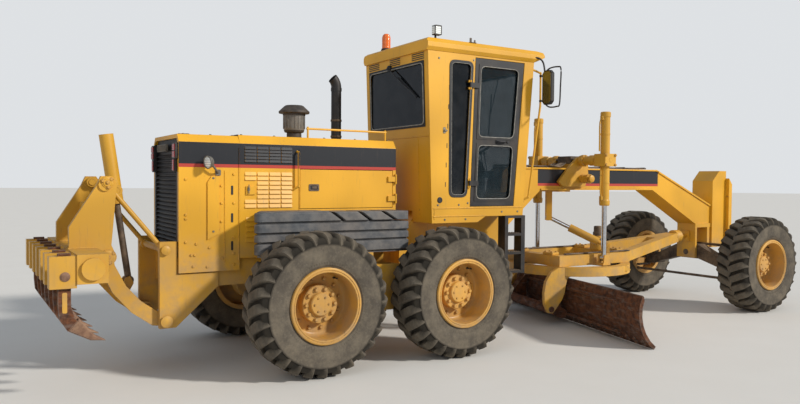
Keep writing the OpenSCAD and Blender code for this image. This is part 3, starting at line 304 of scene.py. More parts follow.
def side_bolts(places, side, y, across=0.020, height=0.010):
    """Hexagon bolts at (x, z) places on one side of the machine."""
    return hex_bolts([at(x, side * y, z) for x, z in places], (0, side, 0), across, height)


def band(start, wide, inner, outer):
    """The profile of a flat hoop."""
    end = start + wide
    return [(start, inner), (start, outer), (end, outer), (end, inner), (start, inner)]


def tidy_mesh(mesh):
    """Merges points that coincide, such as a cap's ring of no radius, and points the faces outwards."""
    work = bmesh.new()
    work.from_mesh(mesh)
    bmesh.ops.remove_doubles(work, verts=work.verts, dist=1e-6)
    bmesh.ops.recalc_face_normals(work, faces=work.faces)
    work.to_mesh(mesh)
    work.free()
    mesh.update()


def piece(name, shape, body, slot, finish, crease=32.0):
    """A new object from a shape or a list of shapes: it rides on a body, wears a finish and keeps edges
    sharper than the crease."""
    points, faces = shape if isinstance(shape, tuple) else join_shapes(shape)
    mesh = bpy.data.meshes.new(name)
    mesh.from_pydata(points.tolist(), [], faces)
    mesh.validate()
    tidy_mesh(mesh)
    mesh.materials.append(finishes[finish])
    mesh.shade_smooth()
    mesh.set_sharp_from_angle(angle=math.radians(crease))
    obj = bpy.data.objects.new(name, mesh)
    bpy.context.scene.collection.objects.link(obj)
    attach(obj, body)
    return obj


# Sizes and colours that a user may change


def paint_colour(name, description, hex_code):
    return FloatVectorProperty(name=name, description=description, subtype="COLOR", size=4,
                               default=linear(hex_code))


class GraderPaint(PropertyGroup):
    body: paint_colour("Body yellow", "Gloss paint on hood, cab and front frame", "#DEA31B")
    worn: paint_colour("Worn yellow", "Older paint on running gear and linkages", "#D09B28")
    rim: paint_colour("Rim yellow", "Baked orange yellow of the wheel rims", "#CE9A40")
    stripe: paint_colour("Stripe red", "Thin stripe under the black band", "#B5392B")
    dust: paint_colour("Yard dust", "Pale clay dust that settles low and on top faces", "#9C8468")


class GraderTyres(PropertyGroup):
    lugs: IntProperty(name="Lugs", description="Lugs on each half of a tyre", default=28, min=20, max=32)
    lug_height: FloatProperty(name="Lug height", description="How far a lug stands over the casing",
                              default=0.038, min=0.02, max=0.05, unit="LENGTH")
    lug_width: FloatProperty(name="Lug width", description="Width of a lug's top, square to its length",
                             default=0.094, min=0.06, max=0.11, unit="LENGTH")
    lug_angle: FloatProperty(name="Lug angle", description="How far a lug is turned from straight across",
                             default=math.radians(24), subtype="ANGLE")


class GraderStage(PropertyGroup):
    yaw: FloatProperty(name="Camera yaw", description="View direction from +Y towards +X",
                       default=math.radians(31.766), subtype="ANGLE")
    pitch: FloatProperty(name="Camera pitch", description="View direction above the horizon",
                         default=math.radians(-1.63), subtype="ANGLE")
    roll: FloatProperty(name="Camera roll", description="Turn about the view direction",
                        default=math.radians(0.421), subtype="ANGLE")
    lens: FloatProperty(name="Lens", description="Focal length on a 36 mm wide sensor, in millimetres",
                        default=32.731, min=10, max=200)


# Materials


def feed(tree, node, inputs):
    """Sets a node's inputs, each from a value or from the socket that feeds it."""
    for key, value in inputs.items():
        if isinstance(value, bpy.types.NodeSocket):
            tree.links.new(value, node.inputs[key])
        else:
            node.inputs[key].default_value = value


def add(tree, kind, inputs=None, **settings):
    """Adds a shader node with its settings and inputs."""
    made = tree.nodes.new(kind)
    for key, value in settings.items():
        setattr(made, key, value)
    feed(tree, made, inputs or {})
    return made


class Surface:
    """A material in the making: its nodes work on the object's own coordinates, in metres."""

    def __init__(self, name):
        self.material = bpy.data.materials.new(name)
        self.material.use_nodes = True
        self.tree = self.material.node_tree
        self.tree.nodes.clear()
        self.shader = self.add("ShaderNodeBsdfPrincipled")
        self.add("ShaderNodeOutputMaterial", {"Surface": self.shader.outputs["BSDF"]})
        self.place = self.add("ShaderNodeTexCoord").outputs["Object"]

    def add(self, kind, inputs=None, **settings):
        return add(self.tree, kind, inputs, **settings)

    def noise(self, per_metre, detail=3.0, rough=0.55, stretch=None):
        """Noise of so many grains to the metre, from 0 to 1; stretch scales the axes apart."""
        place = self.place
        if stretch is not None:
            place = self.add("ShaderNodeMapping", {"Vector": place, "Scale": stretch}).outputs["Vector"]
        return self.add("ShaderNodeTexNoise", {"Vector": place, "Scale": per_metre, "Detail": detail,
                                               "Roughness": rough}).outputs["Fac"]

    def ramp(self, value, low, high):
        """0 at low, 1 at high, smooth between."""
        return self.add("ShaderNodeMapRange", {"Value": value, "From Min": low, "From Max": high},
                        interpolation_type="SMOOTHSTEP").outputs["Result"]

    def spread(self, value, low, high):
        """A value of 0 to 1 spread from low to high."""
        return self.add("ShaderNodeMapRange", {"Value": value, "To Min": low, "To Max": high}).outputs["Result"]

    def mix(self, amount, first, second):
        """The first colour at 0, the second at 1. The node's colour sockets are its 7th and 8th inputs."""
        return self.add("ShaderNodeMix", {0: amount, 6: first, 7: second}, data_type="RGBA").outputs[2]

    def math(self, operation, a, b=0.0):
        """One step of arithmetic on values or sockets."""
        return self.add("ShaderNodeMath", {0: a, 1: b}, operation=operation).outputs[0]

    def times(self, a, b):
        return self.math("MULTIPLY", a, b)

    def between(self, value, low, high):
        """1 between low and high, else 0."""
        return self.times(self.math("GREATER_THAN", value, low), self.math("LESS_THAN", value, high))

    def part(self, vector, axis):
        return self.add("ShaderNodeSeparateXYZ", {0: vector}).outputs[axis]

    def normal(self):
        return self.add("ShaderNodeNewGeometry").outputs["Normal"]

    def soft_normal(self, radius):
        return self.add("ShaderNodeBevel", {"Radius": radius}, samples=4).outputs["Normal"]

    def edges(self, radius):
        """1 where the surface bends within the radius: the rounded normal leans from the true one."""
        lean = self.add("ShaderNodeVectorMath", {0: self.soft_normal(radius), 1: self.normal()},
                        operation="DOT_PRODUCT").outputs["Value"]
        return self.ramp(self.math("SUBTRACT", 1.0, lean), 0.01, 0.12)

    def dust(self, full_below, none_above, top_faces):
        """Dust lies thick low down, thins with height, and settles on faces that look up."""
        low = self.ramp(self.part(self.place, "Z"), none_above, full_below)
        flat_top = self.times(self.ramp(self.part(self.normal(), "Z"), 0.55, 0.95), top_faces)
        patches = self.ramp(self.noise(5.0, 5.0, 0.65), 0.30, 0.72)
        return self.times(self.math("MAXIMUM", low, flat_top), patches)

    def finish(self, base, rough, height=None, strength=0.0, distance=0.0, normal=None, **more):
        """Feeds the shader: colour, roughness, bumps of a height, and other inputs by their names."""
        inputs = {key.replace("_", " "): value for key, value in more.items()}
        inputs.update({"Base Color": base, "Roughness": rough})
        if height is not None:
            bump = {"Height": height, "Strength": strength, "Distance": distance}
            if normal is not None:
                bump["Normal"] = normal
            inputs["Normal"] = self.add("ShaderNodeBump", bump).outputs["Normal"]
        feed(self.tree, self.shader, inputs)
        return self.material


def stripe_bands(s, base, black, red, z_low, z_high, red_height, x_low, x_high):
    """A black band between two heights with a thin red stripe along its lower edge, on faces that
    look sideways and between two places along the machine."""
    x, z = s.part(s.place, "X"), s.part(s.place, "Z")
    sideways = s.math("GREATER_THAN", s.math("ABSOLUTE", s.part(s.normal(), "Y")), 0.7)
    here = s.times(sideways, s.between(x, x_low, x_high))
    with_black = s.mix(s.times(s.between(z, z_low, z_high), here), base, black)
    return s.mix(s.times(s.between(z, z_low - red_height, z_low), here), with_black, red)


def weathered_paint(name, colour, dust, low, high, chips=0.5, gloss=0.42, bands=None, top_faces=0.5):
    """Sprayed machine enamel, years outdoors: its yellow drifts a little from panel to panel, rain
    leaves faint vertical streaks, edges are chipped to brown steel and dust dulls it low down."""
    s = Surface(name)
    base = s.mix(s.ramp(s.noise(0.9, 2.0), 0.3, 0.7), scaled(colour, 0.84), scaled(colour, 1.14, 0.005))
    if bands is not None:
        base = stripe_bands(s, base, *bands)
    streaks = s.ramp(s.noise(6.0, 4.0, 0.7, (6.0, 6.0, 0.55)), 0.56, 0.80)
    base = s.mix(s.times(streaks, 0.34), base, scaled(dust, 0.45))
    spots = s.ramp(s.noise(38.0, 6.0, 0.7), 0.66, 0.74)
    base = s.mix(s.times(spots, 0.35 * chips), base, linear("#5A3A20"))
    dusty = s.dust(low, high, top_faces)
    base = s.mix(s.times(dusty, 0.8), base, dust)
    worn = s.times(s.edges(0.006), s.ramp(s.noise(26.0, 5.0, 0.7), 0.56 - 0.14 * chips, 0.66))
    base = s.mix(worn, base, linear("#4B3527"))
    peel_on_dents = s.math("ADD", s.times(s.noise(260.0, 2.0), 0.03), s.noise(3.2, 3.0))
    return s.finish(base, s.spread(dusty, gloss, 0.92), peel_on_dents, 0.30, 0.006, s.soft_normal(0.004),
                    Coat_Weight=0.12, Coat_Roughness=0.25)


def plain_finish(dust_colour, name, colour, second, per_metre, rough, metallic=0.0, bump=0.2, edge=None,
                 dust=0.0):
    """A one-stuff surface: two near tones in noise, its own grain as bump, and dust where asked."""
    s = Surface(name)
    grain = s.noise(per_metre, 5.0, 0.65)
    base = s.mix(s.ramp(grain, 0.35, 0.65), linear(colour), linear(second))
    if edge is not None:
        base = s.mix(s.times(s.edges(0.006), 0.8), base, linear(edge))
    if dust > 0:
        base = s.mix(s.times(s.ramp(s.noise(4.0, 5.0, 0.7), 0.35, 0.7), dust), base, dust_colour)
    rough = s.spread(grain, max(0.02, rough - 0.1), min(1.0, rough + 0.12))
    return s.finish(base, rough, grain, bump, 0.003, Metallic=metallic)


def tinted_glass(name, colour, film_colour, alpha):
    """Tempered, tinted cab glass: a dark, clear pane that mirrors the sky, with a faint dusty film."""
    s = Surface(name)
    film = s.ramp(s.noise(7.0, 5.0, 0.6), 0.35, 0.8)
    tone = s.mix(s.times(film, 0.35), linear(colour), linear(film_colour))
    return s.finish(tone, 0.06, IOR=1.5, Alpha=alpha, Specular_IOR_Level=0.5)


def bias_tyre_rubber():
    """Off-road tyre rubber: grey-brown from dust; its grooves darkened nearly to black as painted shade, from
    each point's own share of groove, which the tyre stores on its mesh, while the lug tops keep the rubber's
    tone."""
    s = Surface("dusty_tyre_rubber")
    base = s.mix(s.ramp(s.noise(6.0, 6.0, 0.7), 0.3, 0.72), linear("#504A42"), linear("#706759"))
    base = s.mix(s.times(s.ramp(s.noise(45.0, 5.0, 0.7), 0.5, 0.75), 0.35), base, linear("#857C6E"))
    groove = s.add("ShaderNodeAttribute", attribute_name="groove").outputs["Fac"]
    # Painted shade: the grooves are darkened nearly to black by the groove share kept on the mesh
    base = s.mix(s.times(groove, 0.88), base, linear("#15130F"))
    grain = s.math("ADD", s.noise(90.0, 5.0, 0.7), s.noise(14.0, 3.0))
    return s.finish(base, 0.9, grain, 0.45, 0.004, Specular_IOR_Level=0.25)


def mud_worn_steel():
    """Blade steel in use: brown rust with bare, streaked metal where soil slides over it."""
    s = Surface("mud_worn_blade_steel")
    rust = s.mix(s.ramp(s.noise(16.0, 6.0, 0.7), 0.32, 0.7), linear("#3E261A"), linear("#7A4A2C"))
    swept = s.ramp(s.noise(3.0, 5.0, 0.6, (2.0, 2.0, 9.0)), 0.48, 0.72)
    base = s.mix(s.times(swept, 0.6), rust, linear("#6B5F57"))
    base = s.mix(s.times(s.edges(0.008), 0.7), base, linear("#8D857C"))
    return s.finish(base, s.spread(swept, 0.82, 0.48), s.noise(60.0, 6.0, 0.7), 0.4, 0.003, Metallic=0.25)


def lamp_lens(name, colour, ribs_per_metre):
    """Moulded acrylic lens: fine ribs across it, and depth from a glossy coat."""
    s = Surface(name)
    wave = s.add("ShaderNodeTexWave", {"Vector": s.place, "Scale": ribs_per_metre / 6.283, "Distortion": 0.0},
                 bands_direction="Z").outputs["Fac"]
    base = s.mix(wave, linear(colour), scaled(linear(colour), 1.6, 0.02))
    return s.finish(base, 0.12, wave, 0.5, 0.002, Coat_Weight=0.3)


# Key: name, first and second tone, grains to the metre, roughness, metallic, bump, edge tone, dust
PLAIN_FINISHES = {
    # Castings and forgings dark with grease, dust caked on
    "oily": ("oily_black_iron", "#2E2620", "#4A3B2E", 18.0, 0.62, 0.0, 0.35, None, 0.5),
    # Half-gloss black with edges rubbed grey
    "black": ("satin_black_enamel", "#0C0D10", "#17181C", 9.0, 0.5, 0.0, 0.08, "#3A3733", 0.08),
    # Sun-greyed rubber with paler edges
    "guard": ("ribbed_guard_rubber", "#494C50", "#5F6265", 8.0, 0.6, 0.0, 0.15, "#77787A", 0.22),
    # Dull iron in the dark under the hood
    "engine": ("oily_engine_iron", "#2A2A28", "#3E3D39", 22.0, 0.6, 0.2, 0.3),
    # Bright, mirror-like rods
    "chrome": ("ground_chrome_rod", "#B9BBBF", "#D4D5D8", 40.0, 0.14, 1.0, 0.02),
    # Fine-grained near-black mouldings
    "plastic": ("moulded_black_plastic", "#17181A", "#212226", 300.0, 0.55, 0.0, 0.12),
    # Hazy grey bowl, scratched and dusty
    "cap": ("smoked_bowl_plastic", "#5C5A56", "#77746E", 12.0, 0.3, 0.0, 0.08, None, 0.25),
    # Small bright fasteners
    "bolt": ("zinc_plated_bolt", "#6E6A60", "#938C7C", 60.0, 0.45, 0.8, 0.1),
    # Steel polished by soil
    "edge": ("ground_cutting_steel", "#8C8A86", "#B0ADA6", 50.0, 0.35, 0.9, 0.15, "#C8C6C0"),
    # A clear reflection of the yard
    "mirror": ("silvered_mirror", "#6A7274", "#767E80", 4.0, 0.08, 1.0, 0.0),
    # Dull black vinyl with a leather grain
    "seat": ("seat_vinyl", "#1E1F22", "#2B2C30", 160.0, 0.65, 0.0, 0.2),
    # Pale, chalky rubber bead
    "seal": ("weathered_window_seal", "#77746D", "#A09C92", 30.0, 0.6, 0.0, 0.1),
    # Grey cast housings under dust
    "lamp_grey": ("cast_lamp_housing", "#5B5A57", "#77746C", 30.0, 0.55, 0.3, 0.15, None, 0.3),
    # Black gone brown in the sun
    "hat": ("faded_black_hat", "#2A2624", "#3B3531", 14.0, 0.6, 0.0, 0.15, None, 0.2),
    # Rough brown casting with pale, worn edges
    "tip": ("worn_cast_tooth", "#6B4A38", "#8C6A52", 22.0, 0.62, 0.15, 0.4, "#A89282", 0.25),
}
# The hood's band and the beam's band: bottom, top, height of the red stripe, back end, front end
HOOD_BAND = (2.070, 2.283, 0.034, -10.0, 10.0)
BEAM_BAND = (1.900, 2.093, 0.036, 2.95 + TANDEM_X, 5.42 + TANDEM_X)
finishes = {}


def make_finishes(paint):
    """Every finish once, by its key. Paints are given dust from one height, none above another."""
    chosen = (paint.body, paint.worn, paint.rim, paint.dust, paint.stripe)
    body, worn, rim, dust, red = (tuple(colour) for colour in chosen)
    black = linear("#0B0F18")
    finishes.update({key: plain_finish(dust, *values) for key, values in PLAIN_FINISHES.items()})
    finishes.update({
        "body": weathered_paint("sprayed_body_enamel", body, dust, 0.5, 1.6),
        "hood": weathered_paint("sprayed_hood_enamel", body, dust, 0.9, 1.5, top_faces=0.15,
                                bands=(black, red, *HOOD_BAND)),
        "boom": weathered_paint("sprayed_front_frame_enamel", body, dust, 0.6, 1.4, chips=0.8,
                                bands=(black, red, *BEAM_BAND)),
        "frame": weathered_paint("worn_linkage_enamel", worn, dust, 0.3, 1.7, chips=1.0, gloss=0.5),
        "rim": weathered_paint("baked_rim_enamel", rim, dust, 0.1, 1.6, chips=0.6, gloss=0.6, top_faces=0.2),
        "nut": weathered_paint("painted_wheel_nuts", scaled(rim, 0.9), dust, 0.1, 1.6, chips=1.0),
        "glass": tinted_glass("smoked_cab_glass", "#0E1215", "#3C3D3F", 0.88),
        "door_glass": tinted_glass("green_tinted_door_glass", "#0F1F24", "#404F58", 0.55),
        "tyre": bias_tyre_rubber(),
        "blade": mud_worn_steel(),
        "amber": lamp_lens("amber_beacon_lens", "#D8641C", 120.0),
        "red": lamp_lens("red_tail_lens", "#8E1B16", 120.0),
        "clear": lamp_lens("clear_lamp_lens", "#C9CCC8", 90.0),
    })


NODE_FINISH = {
    "hood": "hood_top side_panels engine_door_right engine_door_left",
    "boom": "front_frame",
    "body": "cab_body cab_roof",
    "frame": "rear_frame tandem_cases lift_saddle drawbar circle lift_barrel_right lift_barrel_left "
             "shift_barrel ripper_arms ripper_frame ripper_links ripper_barrel",
    "rim": "wheel_rear_right wheel_rear_left wheel_mid_right wheel_mid_left wheel_front_right wheel_front_left",
    "oily": "front_axle lean_housing_right lean_housing_left knuckle_right knuckle_left lean_bar tie_end "
            "tie_rod ripper_rod",
    "black": "radiator_guard exhaust_stack cab_fittings cab_door_right cab_door_left",
    "guard": "ribbed_guards",
    "engine": "engine",
    "chrome": "lift_rod_right lift_rod_left shift_rod",
    "cap": "precleaner",
    "plastic": "cab_interior",
    "glass": "cab_glass",
    "door_glass": "door_glass_right door_glass_left",
    "tyre": "tyre_rear_right tyre_rear_left tyre_mid_right tyre_mid_left tyre_front_right tyre_front_left",
    "blade": "blade blade_carrier ripper_shanks",
}


class GRADER_OT_finishes(Operator):
    """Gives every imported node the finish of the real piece"""
    bl_idname = "grader.finishes"
    bl_label = "Finishes"

    def execute(self, context):
        make_finishes(context.scene.grader_paint)
        for finish, names in NODE_FINISH.items():
            for name in names.split():
                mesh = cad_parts[name].data
                mesh.materials.clear()
                mesh.materials.append(finishes[finish])
        return {"FINISHED"}


# Tyres

BEAD_RADIUS = 0.3448
# The casing's half section before it is fitted: radius, and width as a share of half the tyre's width
CASING_RADII = np.array([0.345, 0.352, 0.375, 0.392, 0.398, 0.42, 0.47, 0.54, 0.585, 0.592, 0.606, 0.612,
                         0.640, 0.660, 0.672, 0.678, 0.681])
CASING_WIDTHS = np.array([0.812, 0.845, 0.845, 0.872, 0.902, 0.928, 0.966, 0.978, 0.966, 0.972, 0.962, 0.932,
                          0.895, 0.835, 0.70, 0.42, 0.0])
SIDEWALL_TICKS = 96
# Turns the tread round to where the photograph shows its lugs, in radians
TREAD_PHASE = 0.147


def smoothstep(t):
    """0 to 1 with level ends: t^2 (3 - 2t)."""
    t = np.clip(t, 0.0, 1.0)
    return t * t * (3 - 2 * t)


def casing_profile(width, crown_r):
    """Half section of a bias tyre's casing, mirrored about its middle: bead, bulging sidewall with
    a rim guard and a raised buttress ring, rounded shoulder and a slightly crowned tread floor."""
    low, high = CASING_RADII[[0, -1]]
    r = BEAD_RADIUS + (CASING_RADII - low) * (crown_r - BEAD_RADIUS) / (high - low)
    w = CASING_WIDTHS * width / 2
    return np.concatenate([np.stack([-w, r], 1), np.stack([w, r], 1)[-2::-1]])


def tread_lug(half_width, top_r, width, angle, sign):
    """One lug: a bar from the tyre's middle out over the shoulder and down the sidewall, with a flat
    worn top, cut edges and sides that spread towards the casing. A point that lies w along the bar
    and q across it is at (w cos a - q sin a) from the middle plane, and is wrapped round the tyre by
    the arc -(w sin a + q cos a)."""
    end = (half_width - width / 2 * math.sin(angle)) / math.cos(angle)
    flat = end - 0.096
    # Stations along the bar: top (w, depth under the outer radius) and foot (w, depth)
    top = np.array([[-0.008, 0.0], [0.3 * flat, 0.0], [0.7 * flat, 0.0], [flat - 0.012, 0.001],
                    [flat + 0.018, 0.006], [end - 0.050, 0.018], [end - 0.028, 0.040], [end - 0.012, 0.066],
                    [end - 0.003, 0.094], [end - 0.004, 0.117]])
    foot = np.array([[-0.008, 0.070], [0.3 * flat, 0.070], [0.7 * flat, 0.070], [end - 0.110, 0.070],
                     [end - 0.100, 0.074], [end - 0.088, 0.080], [end - 0.075, 0.090], [end - 0.062, 0.102],
                     [end - 0.052, 0.114], [end - 0.050, 0.118]])
    # Across the bar: place as a share of half its width, and rise as a share of the way to its top
    section = np.array([[-1.30, 0.0], [-1.06, 0.84], [-0.93, 0.985], [0.0, 1.0], [0.93, 0.985], [1.06, 0.84],
                        [1.30, 0.0]])
    q = section[:, 0] * width / 2 * np.linspace(0.94, 1.06, len(top))[:, None]
    rise = section[:, 1]
    w = foot[:, :1] * (1 - rise) + top[:, :1] * rise
    radius = top_r - (foot[:, 1:] * (1 - rise) + top[:, 1:] * rise)
    side = np.minimum(w * math.cos(angle) - q * math.sin(angle), half_width)
    turn = -(w * math.sin(angle) + q * math.cos(angle)) / top_r
    ring = np.stack([radius * np.cos(turn), sign * side, radius * np.sin(turn)], -1)
    first, last = (np.repeat(ring[k].mean(0)[None, None], len(section), axis=1) for k in (0, -1))
    points = np.concatenate([first, ring, last])
    return points.reshape(-1, 3), grid_faces(len(points), len(section), close_columns=True)


def tyre_shape(centre, width, top_r, settings, outward):
    """A tyre about a cross axle: its casing turned round the axle, lugs copied round it, those of the
    inner half set half a pitch on, and fine moulded ticks on both sidewalls."""
    profile = casing_profile(width, top_r - settings.lug_height)
    shapes = [lathe(np.concatenate([profile, profile[:1]]), centre, (0, 1, 0), 120)]
    half_pitch = np.pi / settings.lugs
    for sign, phase in ((outward, 0.0), (-outward, half_pitch)):
        lug = tread_lug(width / 2, top_r, settings.lug_width, settings.lug_angle, sign)
        shapes.append(spun_copies(lug, centre, (0, -1, 0), full_turn(settings.lugs, phase - TREAD_PHASE)))
        tick = slab(rectangle(-0.0022, 0.0022, 0.0, 0.030), (0.402, sign * (width / 2 * 0.902 - 0.002), 0.0),
                    ((0, 0, sign), (0.92, sign * 0.38, 0)), 0.004, 0.001)
        shapes.append(spun_copies(tick, centre, (0, 1, 0), full_turn(SIDEWALL_TICKS)))
    return join_shapes(shapes)


def painted_groove_shade(points, centre, width, top_r, lug_height):
    """How deep in the tread each point lies, 0 to 1: how far its radius is under the lugs' outer
    surface at its own distance from the tyre's side, over the lug height, faded out down the sidewall.
    The rubber is darkened by this share as painted shade in the grooves."""
    radius = np.hypot(points[:, 0] - centre[0], points[:, 2] - centre[2])
    inside = width / 2 - np.abs(points[:, 1] - centre[1])
    surface = top_r - np.interp(inside, [0.0, 0.003, 0.011, 0.026, 0.046, 0.070, 0.100],
                                [0.117, 0.094, 0.066, 0.040, 0.018, 0.006, 0.0])
    on_shoulder = smoothstep((radius - (top_r - 0.135)) / 0.030)
    return smoothstep(0.9 * (surface - radius) / lug_height - 0.08) * on_shoulder


def wheels():
    """For each wheel its name, its tyre's middle and size, and its outward direction."""
    for place in ("rear", "mid", "front"):
        for outward, side in SIDES:
            low, high = (np.array(c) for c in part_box(f"tyre_{place}_{side}"))
            yield f"{place}_{side}", (low + high) / 2, high - low, outward


class GRADER_OT_tyres(Operator):
    """Moulds the six lugged tyres"""
    bl_idname = "grader.tyres"
    bl_label = "Tyres"

    def execute(self, context):
        settings = context.scene.grader_tyres
        for name, centre, (_, width, height), outward in wheels():
            shape = tyre_shape(centre, width, height / 2, settings, outward)
            made = piece(f"lugged_tyre_{name}", shape, f"wheel_{name}", "tyre_rubber", "tyre")
            # Each point's groove share goes onto the mesh, where the rubber uses it as painted shade in the
            # grooves
            points = np.empty(3 * len(made.data.vertices))
            made.data.vertices.foreach_get("co", points)
            share = painted_groove_shade(points.reshape(-1, 3), centre, width, height / 2, settings.lug_height)
            stored = made.data.attributes.new("groove", "FLOAT", "POINT")
            stored.data.foreach_set("value", share.astype(np.float32))
            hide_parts(f"tyre_{name}")
        return {"FINISHED"}


# Wheels

# Steps of the rim's outer flange and lock ring, as (distance out from the tyre's middle, radius)
LOCK_RING = [(0.2318, 0.3262), (0.2400, 0.3275), (0.2428, 0.3310), (0.2428, 0.3395), (0.2392, 0.3425),
             (0.2392, 0.3480), (0.2440, 0.3505), (0.2440, 0.3625), (0.2408, 0.3690), (0.2318, 0.3735)]
# Weld fillet between the rim's barrel and its disc
DISC_FILLET = [(-0.0152, 0.2900), (-0.0110, 0.3040), (-0.0020, 0.3140), (0.0130, 0.3210), (0.0400, 0.3249),
               (0.0400, 0.3262), (-0.0180, 0.3262), (-0.0180, 0.2900)]
HUB_CAP = [(0.0690, 0.0), (0.0690, 0.1880), (0.0780, 0.1865), (0.0815, 0.1810), (0.0815, 0.1250),
           (0.0900, 0.1180), (0.1090, 0.1130), (0.1170, 0.1040), (0.1195, 0.0600), (0.1195, 0.0)]
# Rings of bolts: distance out, radius, count, first angle, width across flats, height
WHEEL_NUTS = [(0.0812, 0.153, 10, 0.0, 0.036, 0.028), (-0.0152, 0.248, 12, 0.2, 0.032, 0.024),
              (0.117, 0.074, 6, 0.0, 0.016, 0.010)]
VALVE_STEM = [(-0.016, 0.012), (0.004, 0.011), (0.006, 0.006), (0.052, 0.006), (0.054, 0.008), (0.070, 0.008),
              (0.072, 0.0)]


class GRADER_OT_wheels(Operator):
    """Lock rings, hub caps, studs and nuts of the six wheels"""
    bl_idname = "grader.wheels"
    bl_label = "Wheels"

    def execute(self, context):
        for name, centre, _, outward in wheels():
            axis, body = (0.0, outward, 0.0), f"wheel_{name}"
            rings = [lathe(profile + profile[:1], centre, axis, 96) for profile in (LOCK_RING, DISC_FILLET)]
            piece(f"rim_rings_{name}", rings + [lathe(HUB_CAP, centre, axis, 64)], body, "rim_paint", "rim")
            nuts = [hex_bolts(ring_of_points(centre, axis, out, radius, count, phase), axis, across, height)
                    for out, radius, count, phase, across, height in WHEEL_NUTS]
            piece(f"wheel_nuts_{name}", nuts, body, "rim_paint", "nut")
            stem = centre + 0.305 * np.array([math.cos(0.9), 0.0, math.sin(0.9)])
            piece(f"valve_stem_{name}", lathe(VALVE_STEM, stem, axis, 12), body, "black_paint", "plastic")
        return {"FINISHED"}


# Hood

HOOD_Y, HOOD_REAR, HOOD_TOP = 0.500, -2.0, 2.372
# The roof's rear part lies a sheet's thickness lower than its front part
ROOF_STEP = 0.012
HOOD_BOLTS = [(-1.934, 1.917), (-1.934, 1.569), (-1.934, 1.530), (-1.934, 1.300), (-1.880, 1.170),
              (-1.845, 1.170), (-1.860, 1.060), (-1.720, 1.050), (-1.578, 1.855), (-1.578, 1.497),
              (-1.578, 1.680), (-1.450, 1.330), (-1.450, 1.170), (-1.450, 1.060), (-1.570, 1.130),
              (-1.700, 1.240), (-1.830, 1.280), (-1.450, 1.970), (-1.450, 1.680)]
HOOD_SLOTS = [(-1.467, 1.810), (-1.467, 1.532), (-1.467, 1.250)]
SEAM_LIPS = [(-1.548, -1.541, 1.090, 2.005), (-1.401, -1.394, 1.090, 2.240), (-0.739, -0.731, 1.600, 2.240)]


def work_lamp(origin, axis, radius):
    """A round lamp: a bowl, its rim and its lens, each a profile turned about the direction it shines."""
    bowl = np.array([(-0.85, 0.0), (-0.85, 0.35), (-0.45, 0.85), (0.0, 1.0), (0.12, 1.06), (0.24, 1.06),
                     (0.24, 0.93), (0.10, 0.92)])
    lens = np.array([(0.10, 0.925), (0.14, 0.90), (0.26, 0.5), (0.30, 0.0)])
    return lathe(radius * bowl, origin, axis), lathe(radius * lens, origin, axis)


